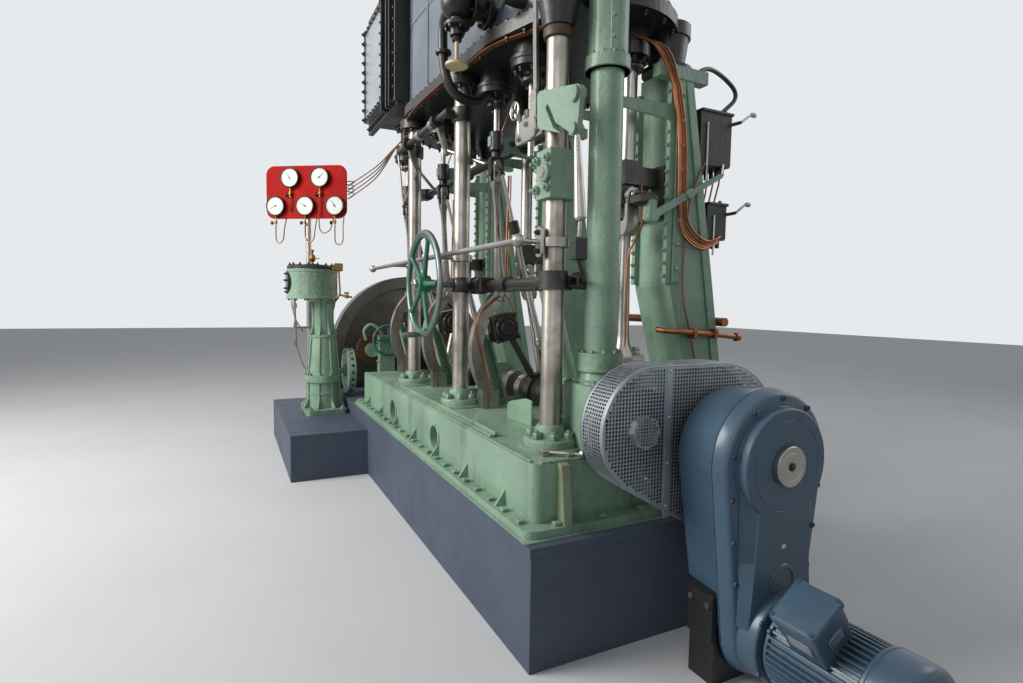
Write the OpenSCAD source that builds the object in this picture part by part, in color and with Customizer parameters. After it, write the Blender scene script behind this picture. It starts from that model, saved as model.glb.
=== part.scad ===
// Stationary vertical steam engine on a plinth, with a turning motor and an auxiliary engine.
// Origin on the floor under the crank axis. +X runs along the crank axis to the driven end,
// -Y faces the operating side, +Z is up. Millimetres.

/* [Plinth] */
// Height of the plinth above the floor
plinth_h = 560; // [550:5:590]
// Width of the plinth across the engine
plinth_w = 1812; // [1760:4:2000]
// Where the plinth ends on the driven side
plinth_near = 1905; // [1880:5:2000]
// Where the plinth ends on the flywheel side
plinth_far = 2820; // [2740:5:2900]
// Height of the lower plinth under the auxiliary engine
side_plinth_h = 410; // [300:5:500]
// How far the lower plinth reaches out from the crank axis
side_plinth_y = 1560; // [1480:5:1700]
// Where the lower plinth ends
side_plinth_far = 3240; // [3200:5:3300]
// Where the lower plinth starts
side_plinth_x = 1245; // [1200:5:1300]

/* [Bedplate] */
// Length of the bedplate box
bed_l = 3540; // [3500:10:3600]
// Width of the bedplate box
bed_w = 1640; // [1600:10:1660]
// Height of the bedplate box
bed_h = 309; // [280:1:340]
// Thickness of the bedplate walls and deck
bed_wall = 40; // [25:1:60]
// Width of the foot flange outside the box
foot_w = 72; // [60:1:80]
// Thickness of the foot flange
foot_t = 36; // [24:1:50]
// Thickness of the drip plate under the foot flange
drip_t = 6; // [3:1:12]
// Length of each crank pit
pit_l = 430; // [400:5:460]
// Width of each crank pit
pit_w = 760; // [740:10:780]
// Radius of the sight holes in the front wall
sight_r = 77; // [60:1:90]
// Distance between the ribs along the foot flange
rib_pitch = 492; // [400:4:600]

/* [Crank gear] */
// Height of the crank axis above the plinth
crank_h = 392; // [388:1:400]
// Radius of the crankshaft in its bearings
shaft_r = 72; // [60:1:80]
// Crank throw, half the stroke
throw = 230; // [200:1:240]
// Length of a connecting rod between its pins
rod_l = 1020; // [980:5:1060]
// Distance of the driven-end crank from the end of the bedplate
crank_1_in = 460; // [455:5:480]
// Place of the middle crank along the engine
crank_2_x = 100; // [80:5:120]
// Distance of the flywheel-end crank from the other end of the bedplate
crank_3_in = 620; // [600:5:640]
// Angle of the driven-end crank from the top, towards the back
crank_turn = 0; // [-20:1:20]
// Radius of a piston rod
piston_rod_r = 42; // [30:1:50]

/* [Frame] */
// Height of the cylinder base above the floor
base_z = 3100; // [3050:5:3200]
// Distance of the front columns from the crank axis
column_y = 580; // [560:5:600]
// Radius of the front columns
column_r = 55; // [40:1:60]
// Distance of the driven-end front column from the end of the bedplate
column_1_in = 270; // [260:5:290]
// Place of the middle front column along the engine
column_2_x = 250; // [230:5:270]
// Distance of the flywheel-end front column from the other end of the bedplate
column_3_in = 920; // [900:5:940]
// Place of the first valve gear along the engine
gear_1_x = 420; // [400:5:440]
// Distance between the valve gears
gear_pitch = 1040; // [1030:5:1050]
// Distance of the valve spindles from the crank axis
spindle_y = 405; // [390:5:420]
// Distance of the crosshead guides from the crank axis
guide_y = 200; // [190:1:230]
// Height where the guides end and the columns lean back from the cranks
guide_z = 1700; // [1600:10:1710]
// Distance of the back column feet from the crank axis
back_foot_y = 420; // [400:5:440]
// Width of a back column along the engine
back_w = 300; // [240:5:340]
// Depth of a back column at its top
back_top_d = 115; // [100:5:130]
// Depth of a back column at its foot
back_foot_d = 455; // [400:5:480]

/* [Cylinders] */
// Height of the cylinder block above its base
block_h = 1260; // [1100:10:1400]
// Thickness of the cylinder base
base_t = 70; // [50:1:90]
// Radius of the low pressure end of the casing
low_r = 600; // [580:5:615]
// Radius of the high pressure end of the casing
high_r = 385; // [370:5:395]
// How far the base stands out past the casing
base_lip = 50; // [30:2:60]

/* [Reversing gear] */
// Radius of the reversing handwheel to the middle of its rim
wheel_r = 340; // [300:5:360]
// Radius of the rim's round section
rim_r = 20; // [14:1:26]
// Distance of the handwheel from the crank axis
wheel_y = 850; // [840:5:880]
// Height of the reversing screw
screw_z = 1710; // [1690:5:1750]
// Radius of the reversing screw
screw_r = 20; // [14:1:24]
// Distance of the handrail from the crank axis
rail_y = 780; // [760:5:800]
// Height of the handrail
rail_z = 1893; // [1860:1:1920]
// Radius of the handrail
rail_r = 16; // [12:1:20]

/* [Tube column] */
// Distance of the tube column from the end of the bedplate
tube_in = 170; // [160:1:180]
// Distance of the tube column from the crank axis
tube_y = 360; // [350:1:370]
// Radius of the lower tube
tube_r = 82; // [74:1:86]
// Radius of the upper sleeve
sleeve_r = 97; // [90:1:105]
// Height of the cast foot under the tube
tube_foot_h = 328; // [300:4:360]
// Width of the cast foot, both ways
tube_foot_w = 276; // [260:2:280]

/* [Drive] */
// Gap between the bedplate and the chain guard
guard_gap = 120; // [115:5:140]
// Width of the chain guard
guard_w = 160; // [130:5:175]
// Thickness of the guard sheet
guard_t = 3; // [2:0.5:5]
// Radius of the guard round the crank sprocket
guard_big_r = 386; // [370:2:388]
// Radius of the guard round the small sprocket
guard_small_r = 282; // [270:2:292]
// Height of the small sprocket above the crank axis
small_dz = 101; // [90:1:110]
// Radius of the gear case over its bolted rim
gear_r = 312; // [300:2:320]
// Depth of the rear half of the gear case
gear_rear_l = 232; // [210:2:250]
// Depth of the front half of the gear case
gear_front_l = 63; // [50:1:80]
// Radius of the raised cover round the shaft end
cover_r = 235; // [220:1:245]
// Drop from the crank axis to the motor axis
motor_drop = 713; // [690:1:718]
// Radius of the motor over its fins
motor_r = 178; // [160:2:185]
// Length of the finned motor body
motor_l = 360; // [330:5:380]

/* [Flywheel] */
// Radius of the flywheel
fly_r = 935; // [880:5:940]
// Width of the flywheel rim
fly_w = 200; // [160:5:240]
// Place of the flywheel's middle along the engine
fly_x = -3050; // [-3100:5:-3030]
// Depth of the flywheel rim
fly_rim = 130; // [100:5:160]

/* [Auxiliary engine] */
// Place of the auxiliary engine along the main engine
aux_x = -2350; // [-2400:5:-2300]
// Distance of the auxiliary engine from the crank axis
aux_y = 1225; // [1200:5:1250]
// Radius of its cylinder
aux_r = 250; // [220:5:260]
// Height of its cylinder
aux_cyl_h = 376; // [340:2:400]
// Height of the underside of its cylinder above the floor
aux_cyl_z = 1598; // [1560:2:1640]

/* [Gauge board] */
// Width of the gauge board
board_w = 975; // [940:5:1000]
// Height of the gauge board
board_h = 595; // [560:5:620]
// Height of the middle of the board above the floor
board_z = 2808; // [2700:2:2900]
// Turn of the board towards the operating side
board_turn = -35; // [-45:1:-20]

/* [Hidden] */

$fn = 64;
// Gap that leaves two seated pieces apart
fit = 0.3;
// Small step that joins or cuts past a face
eps = 0.01;

// Heights on the bedplate
crank_z = plinth_h + crank_h;
foot_z = plinth_h + drip_t;
deck_z = foot_z + bed_h;
bed_end = bed_l / 2;
crank_1_x = bed_end - crank_1_in;
crank_3_x = crank_3_in - bed_end;
crank_xs = [crank_1_x, crank_2_x, crank_3_x];
column_1_x = bed_end - column_1_in;
column_3_x = column_3_in - bed_end;
tube_x = bed_end - tube_in;
// Crank angles a third of a turn apart, measured from the top towards the back
crank_angles = [crank_turn, crank_turn + 120, crank_turn + 240];
function pin_y(a) = throw * sin(a);
function pin_z(a) = crank_z + throw * cos(a);
function head_z(a) = pin_z(a) + sqrt(rod_l * rod_l - pin_y(a) * pin_y(a));
function rod_lean(a) = asin(pin_y(a) / rod_l);
column_xs = [column_1_x, column_2_x, column_3_x];
gear_xs = [for (i = [0 : 2]) gear_1_x - i * gear_pitch];
slot_l = 120;
slot_w = 440;

// Bearings stand between and outside the pits
bearing_l = 160;
bearing_gap = 50;
gear_to_bearing = [320, 260, 170];
bearing_xs = [crank_1_x + pit_l / 2 + bearing_gap + bearing_l / 2,
    for (i = [0 : 2]) gear_xs[i] + gear_to_bearing[i]];
bearing_y = 170;
cap_h = 150;

// Crank webs and pins
web_t = 75;
pin_l = 130;
pin_r = 70;
web_r = 118;

// Places of the drive pieces along the engine
gear_gap = 25;
cover_t = 46;
bell_l = 86;
end_disc_t = 19;
end_disc_r = 84;
guard_x = bed_end + guard_gap;
gear_x = guard_x + guard_w + gear_gap;
parting_x = gear_x + gear_rear_l;
face_x = parting_x + gear_front_l;
cover_x = face_x + cover_t;
bell_x = face_x + bell_l;
motor_z = crank_z - motor_drop;

// Flat board with round corners, as an exact outline
module rounded(x, y, r) {
    square([x - 2 * r, y], center = true);
    square([x, y - 2 * r], center = true);
    for (i = [-1, 1], j = [-1, 1])
        translate([i * (x / 2 - r), j * (y / 2 - r)])
            circle(r);
}

// Draws an outline given in Y and Z and gives it a thickness along X, centred on x
module plate_x(x, t) {
    translate([x - t / 2, 0, 0])
        rotate([90, 0, 90])
            linear_extrude(t)
                children();
}

// Draws an outline given in X and Z with its front face at y and its thickness to the back
module plate_y(y, t) {
    translate([0, y + t, 0])
        rotate([90, 0, 0])
            linear_extrude(t)
                children();
}

// Round bar along X from x0 to x1
module bar_x(x0, x1, y, z, r) {
    translate([x0, y, z])
        rotate([0, 90, 0])
            cylinder(h = x1 - x0, r = r);
}

// Round bar along Y from y0 to y1
module bar_y(x, y0, y1, z, r) {
    translate([x, y1, z])
        rotate([90, 0, 0])
            cylinder(h = y1 - y0, r = r);
}

// Round bar between two points
module bar(a, b, r) {
    d = b - a;
    l = norm(d);
    translate(a)
        rotate([0, acos(d[2] / l), atan2(d[1], d[0])])
            cylinder(h = l, r = r);
}

// Ring of hexagon nuts on a flat face that looks up
module nut_ring(n, ring_r, nut_r, h, start = 0) {
    for (i = [0 : n - 1])
        rotate(start + i * 360 / n)
            translate([ring_r, 0, 0])
                cylinder(h = h, r = nut_r, $fn = 6);
}

// Plinth with a coping and the lower bay for the auxiliary engine
coping_h = 45;
coping_in = 10;
module plinth() {
    mid_x = (plinth_near - plinth_far) / 2;
    length = plinth_near + plinth_far;
    color("slategray") {
        translate([mid_x, 0, 0])
            linear_extrude(plinth_h - coping_h)
                square([length - 2 * coping_in, plinth_w - 2 * coping_in], center = true);
        translate([mid_x, 0, plinth_h - coping_h])
            linear_extrude(coping_h)
                square([length, plinth_w], center = true);
        translate([-side_plinth_far, -side_plinth_y, 0])
            cube([side_plinth_far - side_plinth_x, side_plinth_y - plinth_w / 2 + coping_in,
                side_plinth_h]);
    }
}

// Bedplate: drip plate, ribbed foot flange and a hollow box with three crank pits
module bed_ribs(side) {
    rib_n = floor((bed_l / 2 - 60) / rib_pitch);
    for (i = [-rib_n : rib_n])
        translate([i * rib_pitch, side * (bed_w / 2 - eps), foot_z + foot_t - eps])
            rotate([0, 0, side > 0 ? 0 : 180])
                plate_x(0, 14)
                    polygon([[0, 0], [foot_w * 0.75, 0], [0, 78]]);
}
module bedplate() {
    hollow_z = foot_z + bed_wall;
    hollow_top = deck_z - bed_wall;
    hollow_w = bed_w - 2 * bed_wall;
    color("darkseagreen") {
        translate([0, 0, plinth_h])
            linear_extrude(drip_t + eps)
                rounded(bed_l + 2 * foot_w + 40, bed_w + 2 * foot_w + 30, 20);
        translate([0, 0, foot_z])
            linear_extrude(foot_t)
                rounded(bed_l + 2 * foot_w, bed_w + 2 * foot_w, 60);
        difference() {
            union() {
                translate([0, 0, foot_z])
                    linear_extrude(bed_h)
                        rounded(bed_l, bed_w, 45);
                for (x = bearing_xs)
                    translate([x - bearing_l / 2, -bearing_y, deck_z - eps])
                        cube([bearing_l, 2 * bearing_y, crank_z - deck_z + eps]);
            }
            for (x = crank_xs) {
                translate([x - pit_l / 2, -pit_w / 2, hollow_z])
                    cube([pit_l, pit_w, bed_h]);
                translate([x - pit_l / 2, -hollow_w / 2, hollow_z])
                    cube([pit_l, hollow_w, hollow_top - hollow_z]);
            }
            for (x = gear_xs) {
                translate([x - slot_l / 2, -slot_w / 2, hollow_z])
                    cube([slot_l, slot_w, bed_h]);
                translate([x - slot_l / 2, -hollow_w / 2, hollow_z])
                    cube([slot_l, hollow_w, hollow_top - hollow_z]);
            }
            bar_x(-bed_l, bed_l, 0, crank_z, shaft_r + fit);
            for (x = [gear_xs[0], gear_xs[1]])
                bar_y(x, -bed_w, -hollow_w / 2 + 1, foot_z + 139, sight_r);
        }
        bed_ribs(-1);
        bed_ribs(1);
    }
}

// Main bearing caps with their studs
module bearing_caps() {
    color("seagreen")
        for (x = bearing_xs)
            difference() {
                union() {
                    translate([x - bearing_l / 2, 0, 0])
                        rotate([90, 0, 90])
                            linear_extrude(bearing_l)
                                difference() {
                                    union() {
                                        translate([0, crank_z])
                                            circle(cap_h);
                                        translate([-bearing_y + 10, crank_z])
                                            square([2 * bearing_y - 20, 60]);
                                    }
                                    translate([-2 * cap_h, crank_z - 2 * cap_h])
                                        square([4 * cap_h, 2 * cap_h]);
                                }
                    for (i = [-1, 1], j = [-1, 1])
                        translate([x + i * 50, j * (bearing_y - 32), crank_z + 59])
                            cylinder(h = 32, r = 20, $fn = 6);
                }
                bar_x(x - bearing_l, x + bearing_l, 0, crank_z, shaft_r + fit);
            }
}

// Crankshaft with three pairs of webs and the eccentric sheaves
sheave_r = 130;
shaft_end = cover_x + fit;
module crank_web(a) {
    difference() {
        hull() {
            circle(web_r, $fn = 40);
            translate([throw * sin(a), throw * cos(a)])
                circle(web_r - 8, $fn = 40);
        }
        circle(shaft_r - 2);
    }
}
module crankshaft() {
    color("gray") {
        for (i = [0 : 2]) {
            x = crank_xs[i];
            a = crank_angles[i];
            translate([0, 0, crank_z]) {
                for (s = [-1, 1])
                    plate_x(x + s * (pin_l + web_t) / 2, web_t + 2 * eps)
                        crank_web(a);
            }
            bar_x(x - pin_l / 2 - eps, x + pin_l / 2 + eps, pin_y(a), pin_z(a), pin_r);
        }
        for (x = gear_xs)
            bar_x(x - 34, x + 34, 0, crank_z, sheave_r);
        bar_x(shaft_end, shaft_end + end_disc_t, 0, crank_z, end_disc_r);
        difference() {
            bar_x(fly_x - fly_w / 2 - 80, shaft_end + eps, 0, crank_z, shaft_r);
            for (x = crank_xs)
                bar_x(x - pin_l / 2, x + pin_l / 2, 0, crank_z, shaft_r + 1);
        }
    }
}

// Connecting rods with split big ends, slim shanks and forked top ends
big_r = 118;
big_w = pin_l - 2;
shank_low_r = 34;
shank_top_r = 26;
fork_w = 126;
fork_t = 30;
fork_d = 84;
fork_l = 150;
yoke_h = 50;
head_pin_r = 27;
eye_r = 44;
module connecting_rod(i) {
    x = crank_xs[i];
    a = crank_angles[i];
    translate([x, pin_y(a), pin_z(a)])
        rotate([rod_lean(a), 0, 0]) {
            difference() {
                union() {
                    translate([-big_w / 2, 0, 0])
                        rotate([0, 90, 0])
                            cylinder(h = big_w, r = big_r);
                    for (z = [-big_r - 10, 62])
                        translate([-big_w / 2, -big_r, z])
                            cube([big_w, 2 * big_r, 66]);
                    for (j = [-1, 1])
                        translate([0, j * (big_r - 24), -big_r - 38])
                            cylinder(h = 2 * big_r + 80, r = 18);
                    translate([0, 0, 100])
                        cylinder(h = rod_l - fork_l - yoke_h - 99, r1 = shank_low_r, r2 = shank_top_r);
                    translate([-fork_w / 2, -fork_d / 2, rod_l - fork_l - yoke_h])
                        cube([fork_w, fork_d, yoke_h]);
                    for (s = [0, 1])
                        translate([s * (fork_w - fork_t) - fork_w / 2, 0, rod_l]) {
                            translate([0, -fork_d / 2, -fork_l - eps])
                                cube([fork_t, fork_d, fork_l]);
                            rotate([0, 90, 0])
                                cylinder(h = fork_t, r = eye_r);
                        }
                }
                translate([-big_w, 0, 0])
                    rotate([0, 90, 0])
                        cylinder(h = 2 * big_w, r = pin_r + fit);
                translate([-fork_w, 0, rod_l])
                    rotate([0, 90, 0])
                        cylinder(h = 2 * fork_w, r = head_pin_r + fit);
            }
        }
}
module connecting_rods() {
    color("silver")
        for (i = [0 : 2])
            connecting_rod(i);
}

// Crossheads: a tongue with its pin in the fork, a block above and a slipper on the guide
slipper_w = 240;
slipper_t = 41;
slipper_below = 120;
slipper_above = 170;
tongue_w = fork_w - 2 * fork_t - 2 * fit;
block_w = 116;
block_z = 60;
crosshead_h = 130;
module crosshead(i) {
    x = crank_xs[i];
    z = head_z(crank_angles[i]);
    translate([x, 0, z]) {
        rotate([0, 90, 0])
            translate([0, 0, -fork_w / 2 - 8])
                cylinder(h = fork_w + 16, r = head_pin_r);
        translate([-tongue_w / 2, -60, -eye_r])
            cube([tongue_w, 120, eye_r + block_z + 1]);
        difference() {
            translate([-block_w / 2, -60, block_z])
                cube([block_w, 120, crosshead_h]);
            translate([0, 0, block_z + 50])
                cylinder(h = crosshead_h, r = piston_rod_r + fit);
        }
        translate([-block_w / 2, 59, block_z])
            cube([block_w, guide_y - fit - 59 - slipper_t + 1, crosshead_h - 30]);
        translate([-slipper_w / 2, guide_y - fit - slipper_t, -slipper_below])
            cube([slipper_w, slipper_t, slipper_below + slipper_above]);
    }
}
module crossheads() {
    color("silver")
        for (i = [0 : 2])
            crosshead(i);
}

// Piston rods from the crossheads up into the stuffing boxes
module piston_rods() {
    color("lightgray")
        for (i = [0 : 2]) {
            z = head_z(crank_angles[i]) + block_z + 50;
            translate([crank_xs[i], 0, z])
                cylinder(h = base_z - z, r = piston_rod_r);
        }
}

// Turned front columns with bolted round feet, up to the bosses of the cylinder base
column_foot_h = 55;
column_foot_r = 135;
column_boss_h = 117;
lug_drop = 70;
column_tops = [base_z - lug_drop - column_boss_h, base_z - lug_drop, base_z - lug_drop];
module front_column(i) {
    translate([column_xs[i], -column_y, deck_z]) {
        cylinder(h = column_foot_h, r = column_foot_r);
        translate([0, 0, column_foot_h])
            cylinder(h = 62, r1 = column_r + 15, r2 = column_r + 7);
        translate([0, 0, column_foot_h])
            nut_ring(7, column_foot_r - 34, 25, 30, 30);
        cylinder(h = column_tops[i] - deck_z, r = column_r);
    }
}
module front_columns() {
    color("lightgray")
        difference() {
            for (i = [0 : 2])
                front_column(i);
            bar_y(column_2_x, -column_y - 200, -column_y + 200, screw_z, screw_r + fit);
            translate([tube_x - tube_foot_w / 2 - fit, -tube_y - tube_foot_w / 2 - fit, 0])
                cube([tube_foot_w, tube_foot_w, deck_z + tube_foot_h]);
        }
}

// Cast back columns: guide face, closed sides, ribs between them, foot and head beam
back_flange = 45;
back_side_t = 40;
head_t = 70;
head_front = 115;
head_d = 345;
head_lip = 60;
head_z = base_z - 190;
back_top_z = head_z - head_t;
foot_plate_t = 48;
rib_t = 40;
rib_step = 380;
function back_slope() = (back_foot_d - back_top_d) / (back_top_z - deck_z - foot_plate_t);
function back_y(z) = guide_y + back_foot_d - (z - deck_z - foot_plate_t) * back_slope();
module back_column(x) {
    z0 = deck_z + foot_plate_t;
    z1 = back_top_z;
    y0 = guide_y;
    side = [[back_foot_y, z0 - eps], [y0 + back_foot_d, z0 - eps], [y0 + back_top_d, z1 + eps],
        [y0, z1 + eps], [y0, guide_z]];
    translate([x, 0, 0]) {
        difference() {
            plate_x(0, back_w)
                polygon(side);
            plate_x(0, back_w - 2 * back_side_t)
                polygon([[back_foot_y + back_flange, z0 - 1], [y0 + back_foot_d + 1, z0 - 1],
                    [y0 + back_top_d + 1, z1 + 1], [y0 + back_flange, z1 + 1],
                    [y0 + back_flange, guide_z + 10]]);
        }
        for (z = [guide_z + 60 : rib_step : z1 - 100])
            translate([-back_w / 2 + back_side_t - eps, y0 + back_flange - eps, z])
                cube([back_w - 2 * back_side_t + 2 * eps, back_y(z + rib_t) - y0 - back_flange, rib_t]);
        translate([-back_w / 2 - 40, back_foot_y - 25, deck_z])
            cube([back_w + 80, y0 + back_foot_d - back_foot_y + 35, foot_plate_t]);
        translate([-back_w / 2, y0, z1])
            cube([back_w, back_top_d, head_t]);
        translate([back_w / 2 - head_lip, y0 - head_front, z1])
            cube([head_lip + 4, head_d, head_t]);
    }
}
module back_column_near() {
    color("darkseagreen") back_column(crank_1_x);
}
module back_column_middle() {
    color("darkseagreen") back_column(crank_2_x);
}
module back_column_far() {
    color("darkseagreen") back_column(crank_3_x);
}

// Cylinder block: dark cast base with bosses and stuffing boxes, clad casing and covers
high_at = [1130, -90];
middle_at = [760, -250];
middle_r = 345;
low_at = [-620, -60];
rear_at = [-1100, 60];
rear_r = 470;
module block_outline(grow) {
    hull() {
        translate(high_at)
            circle(high_r + grow, $fn = 72);
        translate(middle_at)
            circle(middle_r + grow, $fn = 72);
        translate(low_at)
            circle(low_r + grow, $fn = 96);
        translate(rear_at)
            circle(rear_r + grow, $fn = 72);
    }
}
box_r = 105;
box_h = 150;
lug_r = 90;
disc_r = 120;
back_foot_r = 118;
drum_r = 125;
drum_h = 145;
// Spindles above each valve gear, and one more for the high pressure cylinder
spindle_xs = [gear_xs[0], gear_xs[1], gear_xs[2], gear_xs[0] + 490];
spindle_r = 20;
gland_h = 30;
module stuffing_box(r, h, bore) {
    difference() {
        union() {
            cylinder(h = h, r = r * 0.9);
            cylinder(h = h * 0.4, r = r);
            translate([0, 0, -gland_h])
                cylinder(h = gland_h + eps, r = bore + 22);
        }
        translate([0, 0, -h])
            cylinder(h = 3 * h, r = bore + fit);
    }
}
module column_lug(at, r) {
    hull() {
        translate(at)
            circle(r);
        translate(high_at)
            circle(high_r / 2);
    }
}
module back_foot(x) {
    translate([x, guide_y - head_front + head_d / 2, head_z + fit]) {
        cylinder(h = 26, r = back_foot_r + 22);
        translate([0, 0, 26 - eps])
            cylinder(h = base_z - head_z - fit - 26 + 2 * eps, r1 = back_foot_r - 22, r2 = back_foot_r);
    }
}
module cylinder_base() {
    color("dimgray") {
        difference() {
            union() {
                translate([0, 0, base_z])
                    linear_extrude(base_t) {
                        block_outline(base_lip);
                        column_lug([crank_1_x, guide_y - head_front + head_d / 2], back_foot_r + 10);
                    }
                translate([0, 0, base_z - lug_drop])
                    linear_extrude(lug_drop + base_t)
                        column_lug([column_1_x, -column_y], lug_r);
            }
            for (x = crank_xs)
                translate([x, 0, base_z - lug_drop - 1])
                    cylinder(h = lug_drop + base_t / 2, r = piston_rod_r + fit);
        }
        translate([column_1_x, -column_y, column_tops[0] + fit])
            cylinder(h = column_boss_h, r1 = column_r + 22, r2 = lug_r + 12);
        for (i = [1, 2])
            translate([column_xs[i], -column_y, column_tops[i] + fit])
                cylinder(h = lug_drop, r = disc_r);
        for (x = crank_xs) {
            back_foot(x);
            translate([x, 0, base_z - box_h])
                stuffing_box(box_r, box_h + eps, piston_rod_r);
        }
        for (x = spindle_xs)
            translate([x, -spindle_y, base_z - drum_h])
                stuffing_box(drum_r, drum_h + eps, spindle_r);
    }
}
module cylinder_casing() {
    color("lightsteelblue")
        translate([0, 0, base_z + base_t])
            linear_extrude(block_h)
                block_outline(0);
}
cover_rs = [320, 310, 540];
cover_at = [high_at, [300, -110], [low_at[0] - 20, low_at[1]]];
cover_h = 60;
dome_h = 40;
module cylinder_covers() {
    color("dimgray")
        for (i = [0 : 2])
            translate([cover_at[i][0], cover_at[i][1], base_z + base_t + block_h]) {
                cylinder(h = cover_h, r = cover_rs[i]);
                translate([0, 0, cover_h])
                    cylinder(h = dome_h, r1 = cover_rs[i] * 0.55, r2 = cover_rs[i] * 0.5);
                translate([0, 0, cover_h])
                    nut_ring(12, cover_rs[i] - 45, 24, 30);
            }
}

// Valve chest at the flywheel end with its studded flange and bright cover
chest_x0 = -2130;
chest_x1 = -996;
chest_y = 688;
chest_z0 = 3295;
chest_top = base_z + base_t + block_h;
chest_flange_t = 48;
chest_in = 70;
chest_back_y = 300;
chest_cover_t = 42;
chest_cover_w = 780;
chest_cover_z0 = 3400;
chest_cover_z1 = 4300;
module valve_chest() {
    color("dimgray")
        difference() {
            union() {
                translate([chest_x0, -chest_y, chest_z0])
                    cube([chest_x1 - chest_x0, chest_flange_t, chest_top - chest_z0]);
                translate([chest_x0 + chest_in, -chest_y + chest_flange_t - eps, chest_z0 + chest_in])
                    cube([chest_x1 - chest_x0 - 2 * chest_in, chest_y + chest_back_y - chest_flange_t,
                        chest_top - chest_z0 - 2 * chest_in]);
            }
            translate([0, 0, base_z])
                linear_extrude(2 * block_h)
                    block_outline(fit);
        }
}
module valve_chest_cover() {
    color("silver")
        translate([chest_x0 + 20, -chest_y - chest_cover_t, chest_cover_z0])
            cube([chest_cover_w, chest_cover_t, chest_cover_z1 - chest_cover_z0]);
}

// Valve spindles below their stuffing boxes
spindle_foot = 2460;
module valve_spindles() {
    color("silver")
        for (x = spindle_xs)
            translate([x, -spindle_y, spindle_foot])
                cylinder(h = base_z - spindle_foot, r = spindle_r);
}

// Polished valve rods from the spindles to the curved levers
lever_top = [-365, 1655];
module valve_rods() {
    color("white")
        for (x = gear_xs) {
            translate([x, -spindle_y, spindle_foot - 90])
                cylinder(h = 90 - fit, r = 44);
            bar([x, -spindle_y, spindle_foot - 89], [x, lever_top[0] - 4, lever_top[1] + 60], 21);
        }
}

// Curved levers in front of the cranks, each on a small foot on the deck
lever_arc = [-55, 1277];
lever_arc_r = 482;
lever_w = 84;
lever_t = 62;
lever_from = 129;
lever_to = 217;
module lever_outline() {
    n = 22;
    step = (lever_to - lever_from) / n;
    outer = [for (i = [0 : n]) lever_arc + (lever_arc_r + lever_w / 2)
        * [cos(lever_from + i * step), sin(lever_from + i * step)]];
    inner = [for (i = [n : -1 : 0]) lever_arc + (lever_arc_r - lever_w / 2)
        * [cos(lever_from + i * step), sin(lever_from + i * step)]];
    polygon(concat(outer, inner));
    translate(lever_top)
        circle(60);
}
module curved_levers() {
    foot = lever_arc + lever_arc_r * [cos(lever_to), sin(lever_to)];
    color("silver")
        for (x = gear_xs) {
            plate_x(x, lever_t)
                lever_outline();
            translate([x - 45, foot[0] - 60, deck_z])
                cube([90, 120, foot[1] - deck_z + 12]);
        }
}

// Eccentric straps with straight rods up to the black gear heads
head_y = -368;
head_c = 1425;
head_size = 190;
module eccentric_rods() {
    color("dimgray")
        for (x = gear_xs)
            difference() {
                union() {
                    bar_x(x - 32, x + 32, 0, crank_z, sheave_r + 28);
                    bar([x, -100, crank_z + 130], [x, head_y + 95, head_c - 60], 27);
                }
                bar_x(x - 90, x + 90, 0, crank_z, sheave_r + fit);
            }
}
module gear_heads() {
    color("black")
        for (x = gear_xs)
            translate([x, 0, 0]) {
                difference() {
                    plate_x(0, 110)
                        translate([head_y + 30, head_c])
                            rotate(12)
                                square([head_size, head_size], center = true);
                    plate_x(0, lever_t + 2 * fit)
                        offset(delta = fit)
                            lever_outline();
                    bar([0, -100, crank_z + 130], [0, head_y + 95, head_c - 60], 27 + fit);
                }
                bar_x(54, 96, head_y + 30, head_c, 82);
            }
}

// Green stays that lean from the deck behind the levers
stay_top = 1370;
stay_foot = [250, 350];
stay_head = [400, 480];
stay_off = 100;
stay_t = 70;
stay_wall = 18;
module stay_outline(inset) {
    over = inset > 0 ? 1 : 0;
    polygon([[-stay_foot[0] - inset, deck_z - over], [-stay_foot[1] + inset, deck_z - over],
        [-stay_head[1] + inset, stay_top + over], [-stay_head[0] - inset, stay_top + over]]);
}
module gear_stays() {
    color("seagreen")
        for (x = gear_xs)
            difference() {
                plate_x(x - stay_off, stay_t)
                    stay_outline(0);
                plate_x(x - stay_off + stay_wall, stay_t - stay_wall)
                    stay_outline(stay_wall);
            }
}

// Weigh shaft under the cylinders with its levers
weigh_y = 700;
weigh_z = 2850;
arm_xs = [-640, 60];
module column_arm(x, y, z, r, h) {
    difference() {
        union() {
            bar_y(x, -y, -column_y, z, r);
            translate([x, -column_y, z - h / 2])
                cylinder(h = h, r = column_r + 18);
        }
        translate([x, -column_y, z - 200])
            cylinder(h = 400, r = column_r + fit);
    }
}
module weigh_shaft() {
    color("silver") {
        bar_x(column_3_x - 60, column_2_x + 60, -weigh_y, weigh_z, 24);
        for (x = [column_3_x, column_2_x])
            column_arm(x, weigh_y, weigh_z, 30, 90);
        for (x = arm_xs)
            bar_x(x - 25, x + 25, -weigh_y, weigh_z, 46);
    }
}

// Reversing handwheel with five spokes, a peg handle and its short shaft
box_y = 448;
box_axis_r = 52;
peg_l = 150;
peg_r = 14;
module reversing_handwheel() {
    color("darkslategray")
        translate([column_2_x, -wheel_y, screw_z])
            rotate([90, 0, 0]) {
                rotate_extrude($fn = 96)
                    translate([wheel_r, 0])
                        circle(rim_r);
                translate([0, 0, -45])
                    cylinder(h = 90, r = 58);
                for (i = [0 : 4])
                    rotate(i * 72)
                        translate([50, 0, 0])
                            rotate([0, 90, 0])
                                cylinder(h = wheel_r - 50 - rim_r / 2, r1 = 19, r2 = 14);
                translate([0, -wheel_r, 0])
                    cylinder(h = peg_l, r = peg_r);
                translate([0, 0, 44])
                    cylinder(h = 26, r = 30, $fn = 6);
            }
    color("gray")
        bar_y(column_2_x, -wheel_y, -box_y - box_axis_r - 5, screw_z, screw_r);
}

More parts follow.
